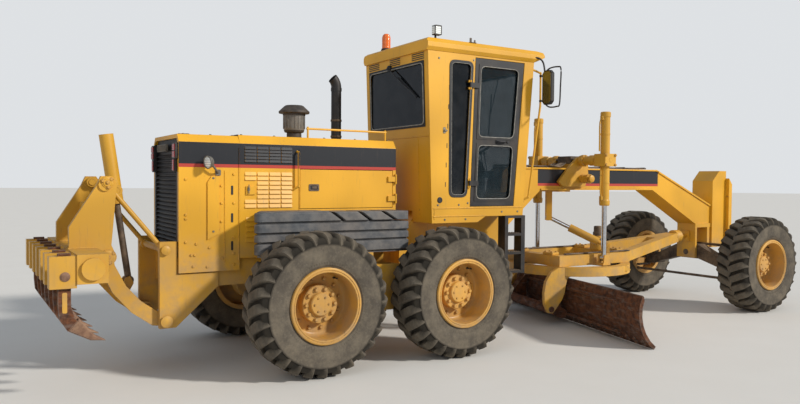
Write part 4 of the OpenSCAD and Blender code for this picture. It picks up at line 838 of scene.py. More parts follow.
class GRADER_OT_hood(Operator):
    """Lamps, latches, slots, bolts and the roof fittings of the engine hood"""
    bl_idname = "grader.hood"
    bl_label = "Hood fittings"

    def execute(self, context):
        self.panels()
        self.lamps()
        self.roof()
        self.doors()
        return {"FINISHED"}

    def panels(self):
        """Bolts, rubber-plugged slots, latches and the lips of the seams on both side panels."""
        bolts, slots, lips, latches, screws = [], [], [], [], []
        for side, _ in SIDES:
            bolts.append(side_bolts(HOOD_BOLTS, side, HOOD_Y))
            slots += [on_side(tile(0.011, 0.047, 0.010) + c, side, HOOD_Y, 0.003, 0.001) for c in HOOD_SLOTS]
            lips += [on_side(rectangle(*lip), side, HOOD_Y, 0.006) for lip in SEAM_LIPS]
            latches += [on_side(rectangle(-1.312, -1.286, 1.800, 1.838, 0.008), side, HOOD_Y + 0.0135, 0.010),
                        on_side(rectangle(-1.304, -1.294, 1.775, 1.868, 0.004), side, HOOD_Y + 0.022, 0.008)]
            screws.append(side_bolts([(-1.662, 1.930), (-1.662, 1.400)], side, HOOD_Y + 0.014, 0.014, 0.006))
        piece("hood_bolts", bolts, "rear_body", "body_paint", "hood")
        piece("hood_slots", slots, "rear_body", "black_paint", "plastic")
        piece("panel_lips", lips, "rear_body", "body_paint", "hood")
        piece("panel_latches", latches, "rear_body", "black_paint", "bolt")
        piece("pocket_screws", screws, "rear_body", "body_paint", "bolt")

    def lamps(self):
        """A round working lamp on a bent bracket each side, and the tail lamps beside the radiator."""
        for side, label in SIDES:
            bowl, lens = work_lamp(at(-1.735, side * 0.590, 2.085), (-0.93, side * 0.30, -0.12), 0.062)
            arm = pipe([(-1.612, 0.498, 1.985), (-1.625, 0.530, 1.990), (-1.650, 0.560, 2.010),
                        (-1.690, 0.578, 2.060)], 0.011, side)
            foot = on_side(rectangle(-1.640, -1.584, 1.955, 2.015, 0.012), side, HOOD_Y, 0.008)
            piece(f"hood_lamp_{label}", [bowl, arm, foot], "rear_body", "black_paint", "lamp_grey")
            piece(f"hood_lamp_lens_{label}", lens, "rear_body", "tinted_glass", "clear")
        for side, label in SIDES:
            case = slab(tile(0.052, 0.078, 0.010), at(HOOD_REAR + 0.002, side * 0.435, 2.195), REARWARD, 0.030)
            piece(f"tail_lamp_case_{label}", case, "rear_body", "black_paint", "black")
            lenses = [slab(tile(0.042, 0.031, 0.008), at(HOOD_REAR - 0.027, side * 0.435, z), REARWARD,
                           0.010, 0.003) for z in (2.160, 2.230)]
            lenses.append(slab(tile(0.028, 0.055, 0.008), at(HOOD_REAR - 0.029, side * 0.420, 2.055), REARWARD,
                               0.008, 0.003))
            piece(f"tail_lenses_{label}", lenses, "rear_body", "tinted_glass", "red")
        plate = slab(tile(0.175, 0.036, 0.008), at(HOOD_REAR + 0.002, 0.080, 2.235), REARWARD, 0.026)
        ribs = [slab(tile(0.004, 0.030), at(HOOD_REAR - 0.023, y, 2.235), REARWARD, 0.006)
                for y in np.linspace(-0.075, 0.235, 9)]
        piece("radiator_cap_cover", [plate, *ribs], "rear_body", "guard_grey", "lamp_grey")

    def roof(self):
        """A dark strip as painted shade in the roof's seam gap, bolts and a filler cap on the roof; clamps on
        the exhaust stack.
        """
        low_top = HOOD_TOP - ROOF_STEP
        # Painted shade: a thin black strip stands for the shaded gap of the roof seam
        piece("roof_seam_shade_strip", slab(tile(0.008, 0.438), at(-1.386, 0, low_top), UPWARD, 0.016), "rear_body",
              "black_paint", "plastic")
        places = [at(x, side * 0.405, low_top if x < -1.39 else HOOD_TOP) for side, _ in SIDES
                  for x in (-1.93, -1.66, -1.43, -1.34, -0.98, -0.40, -0.02, 0.40)]
        piece("roof_bolts", hex_bolts(places, UP, 0.020, 0.010), "rear_body", "body_paint", "bolt")
        cap = lathe([(0.0, 0.0), (0.0, 0.060), (0.010, 0.064), (0.028, 0.064), (0.036, 0.056), (0.040, 0.020),
                     (0.040, 0.0)], at(-1.78, 0.12, low_top))
        lugs = [slab(tile(0.016, 0.070, 0.008), at(-1.78, 0.12, HOOD_TOP + 0.012),
                     ((math.cos(a), math.sin(a), 0), (-math.sin(a), math.cos(a), 0)), 0.014)
                for a in (0.4, 1.97)]
        piece("radiator_filler_cap", [cap, *lugs], "rear_body", "black_paint", "oily")
        stack, clamps = at(0.050, 0.200, 0.0), []
        for z in (2.43, 2.62):
            clamps.append(lathe(band(z, 0.022, 0.058, 0.0665), stack, UP, 40))
            clamps.append(slab(tile(0.012, 0.014, 0.005), stack + (-0.006, -0.064, z + 0.011), REARWARD, 0.016))
        clamps.append(hex_bolts(ring_of_points(stack, UP, HOOD_TOP + 0.025, 0.074, 6), UP, 0.018, 0.010))
        piece("stack_clamps", clamps, "rear_body", "black_paint", "oily")

    def doors(self):
        """A paddle latch on each engine door; its sunken well is a flat dark plate of painted shade."""
        for side, label in SIDES:
            centre, body = at(-0.564, side * HOOD_Y, 1.838), f"engine_door_{label}"
            # Painted shade: a thin black plate stands for the shaded inside of the latch's recess
            well = slab(tile(0.044, 0.022, 0.010), centre, sideward(side), 0.0015, 0.0005)
            rim = ring_plate(tile(0.044, 0.022, 0.010), tile(0.060, 0.037, 0.014), centre, sideward(side),
                             0.006)
            paddle = slab(tile(0.030, 0.014, 0.008), centre + (0.006, side * 0.001, 0), sideward(side), 0.007,
                          0.003)
            piece(f"door_latch_shade_plate_{label}", well, body, "black_paint", "plastic")
            piece(f"door_latch_{label}", [rim, paddle], body, "body_paint", "oily")


# Cab

CAB_Y = 0.720
DOOR_WINDOWS = {"upper": [[1.470, 2.440], [2.026, 2.440], [2.104, 3.300], [1.500, 3.300]],
                "lower": [[1.440, 1.700], [1.970, 1.700], [2.020, 2.360], [1.466, 2.360]]}
SLIM_WINDOW = [[1.075, 1.750], [1.295, 1.750], [1.375, 3.310], [1.070, 3.310]]
WALL_SCREWS = [(0.90, 1.64), (1.20, 1.64), (1.33, 1.66), (0.90, 3.33), (1.40, 3.35), (1.00, 1.47),
               (1.30, 1.47), (1.85, 1.55), (2.10, 1.55)]
# One mirror's pane, in y and z, and its tube guard
MIRROR_PANE = np.array([[0.812, 2.922], [0.840, 2.890], [0.924, 2.890], [0.953, 2.922], [0.953, 3.254],
                        [0.924, 3.286], [0.840, 3.286], [0.812, 3.254]])
MIRROR_GUARD = [(2.436, 0.806, 3.270), (2.440, 0.900, 3.322), (2.440, 1.040, 3.325), (2.440, 1.095, 3.290),
                (2.440, 1.090, 3.080), (2.440, 1.078, 2.870), (2.440, 1.030, 2.842), (2.440, 0.900, 2.846),
                (2.436, 0.822, 2.895)]


def window_trim(name, outline, side, body, finish, radius=0.07, cover=0.018, corner=0.012, bead=0.005):
    """A face plate that rounds a window's corners, and the pale bead of its seal."""
    shape = (np.array(outline) + (TANDEM_X, 0.0)) * (-side, 1.0)
    inner = rounded(offset_outline(shape, -0.010), radius)
    outer = rounded(offset_outline(shape, cover), corner)
    plate = ring_plate(inner, outer, (0, side * (CAB_Y - 0.002), 0), sideward(side), 0.008)
    piece(f"{name}_frame", plate, body, "black_paint", finish)
    seal = loop_tube(inner, (0, side * (CAB_Y + 0.0055), 0), sideward(side), bead)
    piece(f"{name}_seal", seal, body, "cab_plastic", "seal")


def leaning_wall(low, high):
    """The direction up a leaning wall, and a function that gives its point at a height."""
    up = (high - low) / np.linalg.norm(high - low)
    return up, lambda z: low + up * ((z - low[2]) / up[2])


def pillow(centre, size, power=5.0, cells=14, channels=0, sag=0.0, turn=np.eye(3)):
    """A stuffed cushion: the points of a cube's six faces are divided by their own power-p norm, which
    rounds the corners and crowns the faces, then scaled to the half sizes. Sewn channels press the top
    in by a cosine to the eighth across the cushion, and the edges between corners pull in a little."""
    a, b = (g.ravel() for g in np.meshgrid(*[np.linspace(-1, 1, cells)] * 2, indexing="ij"))
    one = np.ones_like(a)
    cube = np.concatenate([np.stack(p, 1) for p in ((a, b, one), (b, a, -one), (one, a, b), (-one, b, a),
                                                    (b, one, a), (a, -one, b))])
    p = cube / (np.sum(np.abs(cube) ** power, axis=1) ** (1 / power))[:, None]
    edge = np.abs(p[:, 0]) ** 4 * (1 - p[:, 1] ** 2) + np.abs(p[:, 1]) ** 4 * (1 - p[:, 0] ** 2)
    p[:, :2] *= (1 - 0.035 * edge)[:, None]
    if channels:
        groove = np.cos(np.pi * channels * p[:, 0]) ** 8 * (1 - np.abs(p[:, 0]) ** 6)
        p[:, 2] -= 0.16 * groove * np.maximum(p[:, 2], 0)
    p[:, 2] -= sag * (1 - p[:, 0] ** 2) * (1 - p[:, 1] ** 2) * np.maximum(p[:, 2], 0)
    faces = [[i + k * cells ** 2 for i in face] for k in range(6) for face in grid_faces(cells, cells)]
    return (p * np.asarray(size) / 2) @ np.asarray(turn).T + centre, faces


class GRADER_OT_cab(Operator):
    """Glass, seals, handles, wipers, lamps, mirrors and the seat of the cab"""
    bl_idname = "grader.cab"
    bl_label = "Cab fittings"

    def execute(self, context):
        self.both_sides(self.door)
        self.both_sides(self.wall)
        self.front()
        self.rear()
        self.roof()
        self.both_sides(self.mirror)
        self.inside()
        self.steps()
        return {"FINISHED"}

    def both_sides(self, make):
        """Makes one side's pieces for the right and for the left."""
        for side, label in SIDES:
            make(side, label)

    def door(self, side, label):
        """Window seals, and the handle with its lock."""
        body = f"cab_door_{label}"
        for key, outline in DOOR_WINDOWS.items():
            window_trim(f"door_{key}_{label}", outline, side, body, "black")
        base = on_side(rectangle(1.745, 1.885, 2.376, 2.424, 0.016), side, CAB_Y, 0.012)
        grip = pipe([(1.760, 0.728, 2.400), (1.768, 0.752, 2.400), (1.800, 0.760, 2.400),
                     (1.850, 0.760, 2.400), (1.872, 0.750, 2.400), (1.878, 0.728, 2.400)], 0.009, side)
        lock = lathe([(0.0, 0.0), (0.0, 0.016), (0.010, 0.015), (0.012, 0.0)], at(1.930, side * CAB_Y, 2.400),
                     (0, side, 0), 20)
        piece(f"door_handle_{label}", [base, grip, lock], body, "black_paint", "plastic")

    def wall(self, side, label):
        """Slim side window, floor flanges, a round plug, drip slots, a small latch and screws."""
        window_trim(f"slim_window_{label}", SLIM_WINDOW, side, "front_body", "plastic", 0.06, 0.022, 0.08,
                    0.003)
        flanges = [on_side(rectangle(0.833, x1, z - 0.006, z + 0.006), side, CAB_Y, 0.006)
                   for z, x1 in ((1.602, 2.180), (1.508, 1.610))]
        flanges.append(on_side(rectangle(0.846, 0.862, 1.470, 1.600, 0.006), side, CAB_Y, 0.004))
        piece(f"cab_flanges_{label}", flanges, "front_body", "body_paint", "body")
        plug = lathe([(-0.002, 0.0), (-0.002, 0.036), (0.005, 0.034), (0.007, 0.028), (0.004, 0.024),
                      (0.004, 0.0)], at(0.927, side * CAB_Y, 1.698), (0, side, 0))
        slots = [on_side(tile(0.005, 0.028, 0.004) + (1.004 + 0.054 * t, 1.880 + 1.350 * t), side, CAB_Y,
                         0.0015, 0.0005) for t in np.linspace(0.0, 1.0, 7)]
        piece(f"wall_plugs_{label}", [plug, *slots], "front_body", "black_paint", "plastic")
        latch = [on_side(rectangle(0.965, 1.000, 2.470, 2.540, 0.008), side, CAB_Y, 0.006),
                 on_side(rectangle(0.975, 1.018, 2.492, 2.512, 0.006), side, CAB_Y + 0.005, 0.012),
                 side_bolts(WALL_SCREWS, side, CAB_Y, 0.016, 0.007)]
        piece(f"wall_latch_{label}", latch, "front_body", "black_paint", "bolt")

    def mirror(self, side, label):
        """A silvered pane, its curved arm from the roof and the tube guard round it."""
        pane = slab(MIRROR_PANE * (-side, 1.0), at(2.4125, 0, 0), REARWARD, 0.003, 0.001)
        piece(f"mirror_pane_{label}", pane, "front_body", "tinted_glass", "mirror")
        arm = pipe([(2.330, 0.735, 3.470), (2.400, 0.765, 3.455), (2.436, 0.790, 3.400), (2.436, 0.820, 3.285)],
                   0.011, side)
        clips = [slab(tile(0.016, 0.012, 0.005), at(2.424, side * 0.772, z), REARWARD, 0.024)
                 for z in (2.930, 3.240)]
        piece(f"mirror_guard_{label}", [arm, pipe(MIRROR_GUARD, 0.009, side), *clips], "front_body",
              "black_paint", "black")

    def front(self):
        """The windscreen, its surround and its wiper."""
        up, wall_at = leaning_wall(at(2.185, 0, 1.500), at(2.345, 0, 3.410))
        out, facing = np.array([up[2], 0.0, -up[0]]), ((0, 1, 0), up)
        low, high = 1.760, 3.300
        opening = rectangle(-0.600, 0.600, 0.0, (high - low) / up[2])
        glass = slab(offset_outline(opening, -0.002), wall_at(low) - out * 0.034, facing, 0.010)
        piece("windscreen", glass, "front_body", "tinted_glass", "door_glass")
        surround = ring_plate(rounded(offset_outline(opening, -0.022), 0.07),
                              rounded(offset_outline(opening, 0.010), 0.010), wall_at(low) + out * 0.002,
                              facing, 0.007)
        piece("windscreen_surround", surround, "front_body", "black_paint", "plastic")
        pivot = wall_at(3.345) + out * 0.004
        spots = np.array([(0.0, 0.0, 0.035), (0.06, 0.30, 0.028), (0.10, 0.52, 0.018),
                          (0.10, 0.25, 0.010), (0.10, 0.52, 0.010), (0.10, 0.80, 0.010)])
        # Places under the pivot: across, down the glass and off it
        points = pivot + spots @ np.array([(0.0, 1.0, 0.0), -up, out])
        motor = lathe([(0.0, 0.0), (0.0, 0.040), (0.030, 0.036), (0.042, 0.014), (0.050, 0.0)], pivot, out, 24)
        piece("front_wiper", [tube(smooth_path(points[:3]), 0.007), tube(points[3:], 0.008), motor],
              "front_body", "black_paint", "plastic")

    def rear(self):
        """Seal, wiper, air grilles and the welded seams of the cab's back wall."""
        up, wall_at = leaning_wall(at(0.820, 0, 1.430), at(0.745, 0, 3.410))
        out, facing = np.cross((0.0, -1.0, 0.0), up), ((0, -1, 0), up)
        low, high = 2.560, 3.290
        opening = rectangle(-0.620, 0.620, 0.0, (high - low) / up[2])
        inner = rounded(offset_outline(opening, -0.012), 0.06)
        outer = rounded(offset_outline(opening, 0.016), 0.014)
        piece("rear_window_frame", ring_plate(inner, outer, wall_at(low) - out * 0.001, facing, 0.007),
              "front_body", "black_paint", "plastic")
        piece("rear_window_seal", loop_tube(inner, wall_at(low) + out * 0.006, facing, 0.007), "front_body",
              "cab_plastic", "seal")
        pivot, tip = wall_at(3.298) + (0.0, 0.117, 0.0), wall_at(2.912) + (0.0, -0.457, 0.0)
        reach = tip - pivot
        arm = tube(smooth_path([pivot + reach * share + out * off
                                for share, off in ((0.0, 0.030), (0.5, 0.036), (0.75, 0.020))]), 0.008)
        wipe = tube([pivot + reach * 0.7 + reach / np.linalg.norm(reach) * along + out * off
                     for along, off in ((-0.24, 0.012), (0.0, 0.013), (0.24, 0.012))], 0.010)
        motor = lathe([(0.0, 0.0), (0.0, 0.042), (0.026, 0.038), (0.036, 0.016), (0.046, 0.014), (0.046, 0.0)],
                      pivot, out, 24)
        piece("rear_wiper", [arm, wipe, motor], "front_body", "black_paint", "plastic")
        grilles = [slab(rectangle(y0, y1, 0.0, 0.011), wall_at(z), facing, 0.004, 0.001)
                   for y0, y1 in ((-0.640, -0.380), (0.380, 0.640), (-0.120, 0.120))
                   for z in (3.322, 3.344, 3.366, 3.388)]
        piece("rear_grilles", grilles, "front_body", "black_paint", "plastic")
        seams = [slab(rectangle(-0.004, 0.004, 0.0, 0.95), wall_at(1.470) + (0.0, y, 0.0), facing, 0.004, 0.001)
                 for y in (-0.470, 0.470)]
        seams.append(slab(rectangle(-0.700, 0.700, 0.0, 0.010), wall_at(2.430), facing, 0.006))
        piece("rear_wall_seams", seams, "front_body", "body_paint", "body")

    def roof(self):
        """The amber beacon on its rubber foot, the square working lamp, a bracket and screws."""
        base = at(0.840, 0.370, 0.0)
        dome = [(3.582, 0.0), (3.582, 0.053), (3.592, 0.0545)]
        dome += [(3.600 + 0.006 * k, 0.0545 if k % 2 else 0.0530) for k in range(22)]
        dome += [(3.740, 0.0510), (3.756, 0.0460), (3.768, 0.0370), (3.777, 0.0230), (3.781, 0.0)]
        piece("beacon_dome", lathe(dome, base, UP, 48), "front_body", "tinted_glass", "amber")
        foot = lathe([(3.554, 0.0), (3.554, 0.074), (3.566, 0.070), (3.580, 0.063), (3.590, 0.060),
                      (3.590, 0.0)], base, UP, 40)
        piece("beacon_foot", foot, "front_body", "black_paint", "plastic")
        rightward, pane = sideward(-1.0), tile(0.037, 0.045, 0.010)
        lenses = [slab(pane, at(0.883, -0.7215, 3.646), rightward, 0.005),
                  slab(tile(0.028, 0.045, 0.010), at(0.8385, -0.692, 3.646), REARWARD, 0.005)]
        piece("roof_lamp_lens", lenses, "front_body", "tinted_glass", "clear")
        rim = ring_plate(pane, tile(0.047, 0.056, 0.012), at(0.883, -0.7200, 3.646), rightward, 0.009)
        piece("roof_lamp_rim", rim, "front_body", "black_paint", "black")
        bracket = [slab(tile(0.05, 0.02, 0.008), at(1.39, -0.700, 3.553), UPWARD, 0.008)]
        bracket += [slab(rectangle(-half, half, 0.0, tall, 0.008), at(x, -0.704, 3.556), rightward, 0.006)
                    for x, half, tall in ((1.36, 0.016, 0.055), (1.42, 0.012, 0.035))]
        piece("roof_bracket", bracket, "front_body", "black_paint", "oily")
        places = [at(x, side * 0.66, 3.5555) for side, _ in SIDES for x in (0.84, 1.22, 1.60, 1.98, 2.33)
                  if side > 0 or x > 0.9]
        piece("roof_screws", hex_bolts(places, UP, 0.018, 0.009), "front_body", "body_paint", "bolt")

    def inside(self):
        """Seat cushions, consoles and levers."""
        upright = np.array([[-0.055, 0.0, 0.9985], [0.0, 1.0, 0.0], [0.9985, 0.0, 0.055]])
        pads = {"seat_cushion": [pillow(at(1.350, 0, 2.062), (0.560, 0.560, 0.150), channels=3, sag=0.10)],
                "seat_back": [pillow(at(1.165, 0, 2.430), (0.780, 0.540, 0.170), channels=4, sag=0.06,
                                     turn=upright)],
                "arm_pads": [pillow(at(1.310, side * 0.300, 2.218), (0.400, 0.085, 0.075), 4.0, cells=8)
                             for side, _ in SIDES]}
        for name, shapes in pads.items():
            piece(name, shapes, "front_body", "cab_plastic", "seat", 60)
        levers = []
        for side, _ in SIDES:
            for k in range(4):
                foot = at(1.900 + 0.012 * k, side * (0.165 + 0.050 * k), 2.040)
                head = foot + (-0.050, side * 0.004, 0.230)
                levers.append(tube([foot, head], 0.005, 8))
                levers.append(lathe([(-0.016, 0.0), (-0.010, 0.012), (0.004, 0.017), (0.016, 0.012),
                                     (0.020, 0.0)], head, (-0.2, 0, 1), 12))
            levers.append(slab(tile(0.150, 0.075, 0.020), at(1.930, side * 0.240, 1.960), UPWARD_ACROSS, 0.090))
        piece("control_levers", levers, "front_body", "cab_plastic", "plastic")

    def steps(self):
        """Toothed treads on the rungs of both ladders."""
        tooth = lathe([(0.0, 0.010), (0.008, 0.007), (0.008, 0.0)], sides=8)
        shapes = []
        for side, _ in SIDES:
            for z in (0.818, 1.048, 1.278, 1.498):
                shapes.append(slab(tile(0.150, 0.062), at(2.055, side * 0.668, z), UPWARD, 0.004))
                shapes.append(copies(tooth, [at(1.935 + 0.040 * i, side * (0.630 + 0.038 * j), z + 0.004)
                                             for i in range(7) for j in range(3)]))
        piece("step_treads", shapes, "front_body", "black_paint", "oily")


# Side guards and air cleaner

# Heights of the four ribs, and the top rib's notches from their top point to their bottom point, in x and z
GUARD_RIBS = [(1.171, 1.280), (1.296, 1.372), (1.388, 1.478), (1.494, 1.590)]
GUARD_NOTCHES = [((-0.508, 1.579), (-0.368, 1.482)), ((-0.178, 1.573), (-0.069, 1.497)),
                 ((0.079, 1.591), (0.231, 1.501))]
GUARD_END, HALF_NOTCH = 0.405, 0.022


def notch_x(k, z):
    """Where a notch's middle line is at a height."""
    (x0, z0), (x1, z1) = GUARD_NOTCHES[k]
    return x0 + (x1 - x0) * (z0 - z) / (z0 - z1)


def guard_plan(end, inset, z):
    """The guard's outline seen from above at one height, drawn in by the inset."""
    path = [(end, 0.500), (end, 0.870 - inset), (-1.280, 0.870 - inset), (-1.302 + inset / 3, 0.868 - inset),
            (-1.320 + inset / 2, 0.858 - inset), (-1.334 + inset, 0.838 - inset / 2), (-1.341 + inset, 0.815),
            (-1.343 + inset, 0.795), (-1.165, 0.500)]
    return np.array([at(x, y, z) for x, y in path])


def guard(side):
    """A section of (height, inset) rows carried round the guard's plan outline; ahead of the first notch
    the top rib is made of blocks that stand between the slanted notches."""
    deep, soft = 0.030, 0.009
    rows = [(1.150, deep)]
    for low, high in GUARD_RIBS:
        rows += [(low, deep), (low + 0.001, soft), (low + soft, 0.0), (high - soft, 0.0), (high - 0.001, soft),
                 (high, deep)]
    rows += [(1.598, deep)]
    low, high = GUARD_RIBS[-1]
    ring = np.stack([guard_plan(notch_x(0, z) - HALF_NOTCH if z >= low - 1e-6 else GUARD_END, inset, z)
                     for z, inset in rows])
    ring[..., 1] *= side
    n, last = ring.shape[1], len(rows) - 1
    faces = grid_faces(len(rows), n, close_columns=True)
    faces += [list(range(n))[::-1], list(range(last * n, last * n + n))]
    lines = [(notch_x(k, low), notch_x(k, high)) for k in range(3)] + [(GUARD_END + HALF_NOTCH,) * 2]
    blocks = [on_side(np.array([[a + HALF_NOTCH, low], [c - HALF_NOTCH, low], [d - HALF_NOTCH, high],
                                [b + HALF_NOTCH, high]]), side, HOOD_Y, 0.370, 0.008)
              for (a, b), (c, d) in zip(lines[:-1], lines[1:])]
    return join_shapes([(ring.reshape(-1, 3), faces), *blocks])


class GRADER_OT_guards(Operator):
    """Ribbed side guards with deep grooves, and the air cleaner's hat"""
    bl_idname = "grader.guards"
    bl_label = "Guards and air cleaner"

    def execute(self, context):
        made = piece("moulded_guards", [guard(side) for side, _ in SIDES], "rear_body", "guard_grey",
                     "guard", 40)
        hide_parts("ribbed_guards")
        self.cleaner()
        return {"FINISHED"}

    def cleaner(self):
        """A clear ribbed bowl under a brimmed hat with a flat crown."""
        centre = at(-0.622, -0.100, 0.0)
        neck = lathe([(2.372, 0.0), (2.372, 0.096), (2.390, 0.096), (2.392, 0.082), (2.440, 0.081),
                      (2.446, 0.104), (2.462, 0.112), (2.476, 0.112), (2.478, 0.0)], centre, UP, 64)
        bowl = lathe([(2.470, 0.0), (2.470, 0.112), (2.480, 0.115), (2.560, 0.1175), (2.632, 0.1185),
                      (2.640, 0.112), (2.640, 0.0)], centre, UP, 64)
        hat = lathe([(2.632, 0.0), (2.632, 0.124), (2.650, 0.126), (2.655, 0.166), (2.660, 0.170),
                     (2.674, 0.171), (2.680, 0.168), (2.688, 0.158), (2.722, 0.122), (2.732, 0.112),
                     (2.738, 0.104), (2.744, 0.094), (2.746, 0.0)], centre, UP, 64)
        rib = slab(tile(0.0035, 0.072, 0.002), (0.1150, 0, 2.556), FORWARD, 0.0075)
        ribs = spun_copies(rib, centre, UP, full_turn(20))
        made = piece("air_cleaner_bowl", [bowl, ribs], "rear_body", "cap_plastic", "cap")
        piece("air_cleaner_hat", [neck, hat], "rear_body", "cap_plastic", "hat")
        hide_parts("precleaner")


# Front frame, linkage, blade and ripper

LIFT_X, LIFT_Y = 3.700, 0.660
CIRCLE_CENTRE, MOTOR_CENTRE = at(3.670, 0, 0), at(4.290, 0, 0)
BLADE_CENTRE = np.array([0.15036, 0.0, 0.41691])
BLADE_TURN = turn_about(UP, math.radians(-14))
PIPE_RADIUS = 0.010
CIRCLE_TEETH = 64
SHANKS, SHANK_PITCH = 7, 0.333
# The line of a weld along the ripper's arm, in x and z
WELD = [(-2.985, 1.282), (-2.860, 1.283), (-2.745, 1.282)]


def blade_line(angle, radius, y):
    """Points on the blade's curve at an angle in degrees, a radius and places along the blade, turned
    with the circle and set at its middle."""
    a, y = math.radians(angle), np.asarray(y, dtype=float)
    own = BLADE_CENTRE + np.stack([np.full_like(y, radius * math.cos(a)), y,
                                   np.full_like(y, radius * math.sin(a))], 1)
    return own @ BLADE_TURN.T + CIRCLE_CENTRE


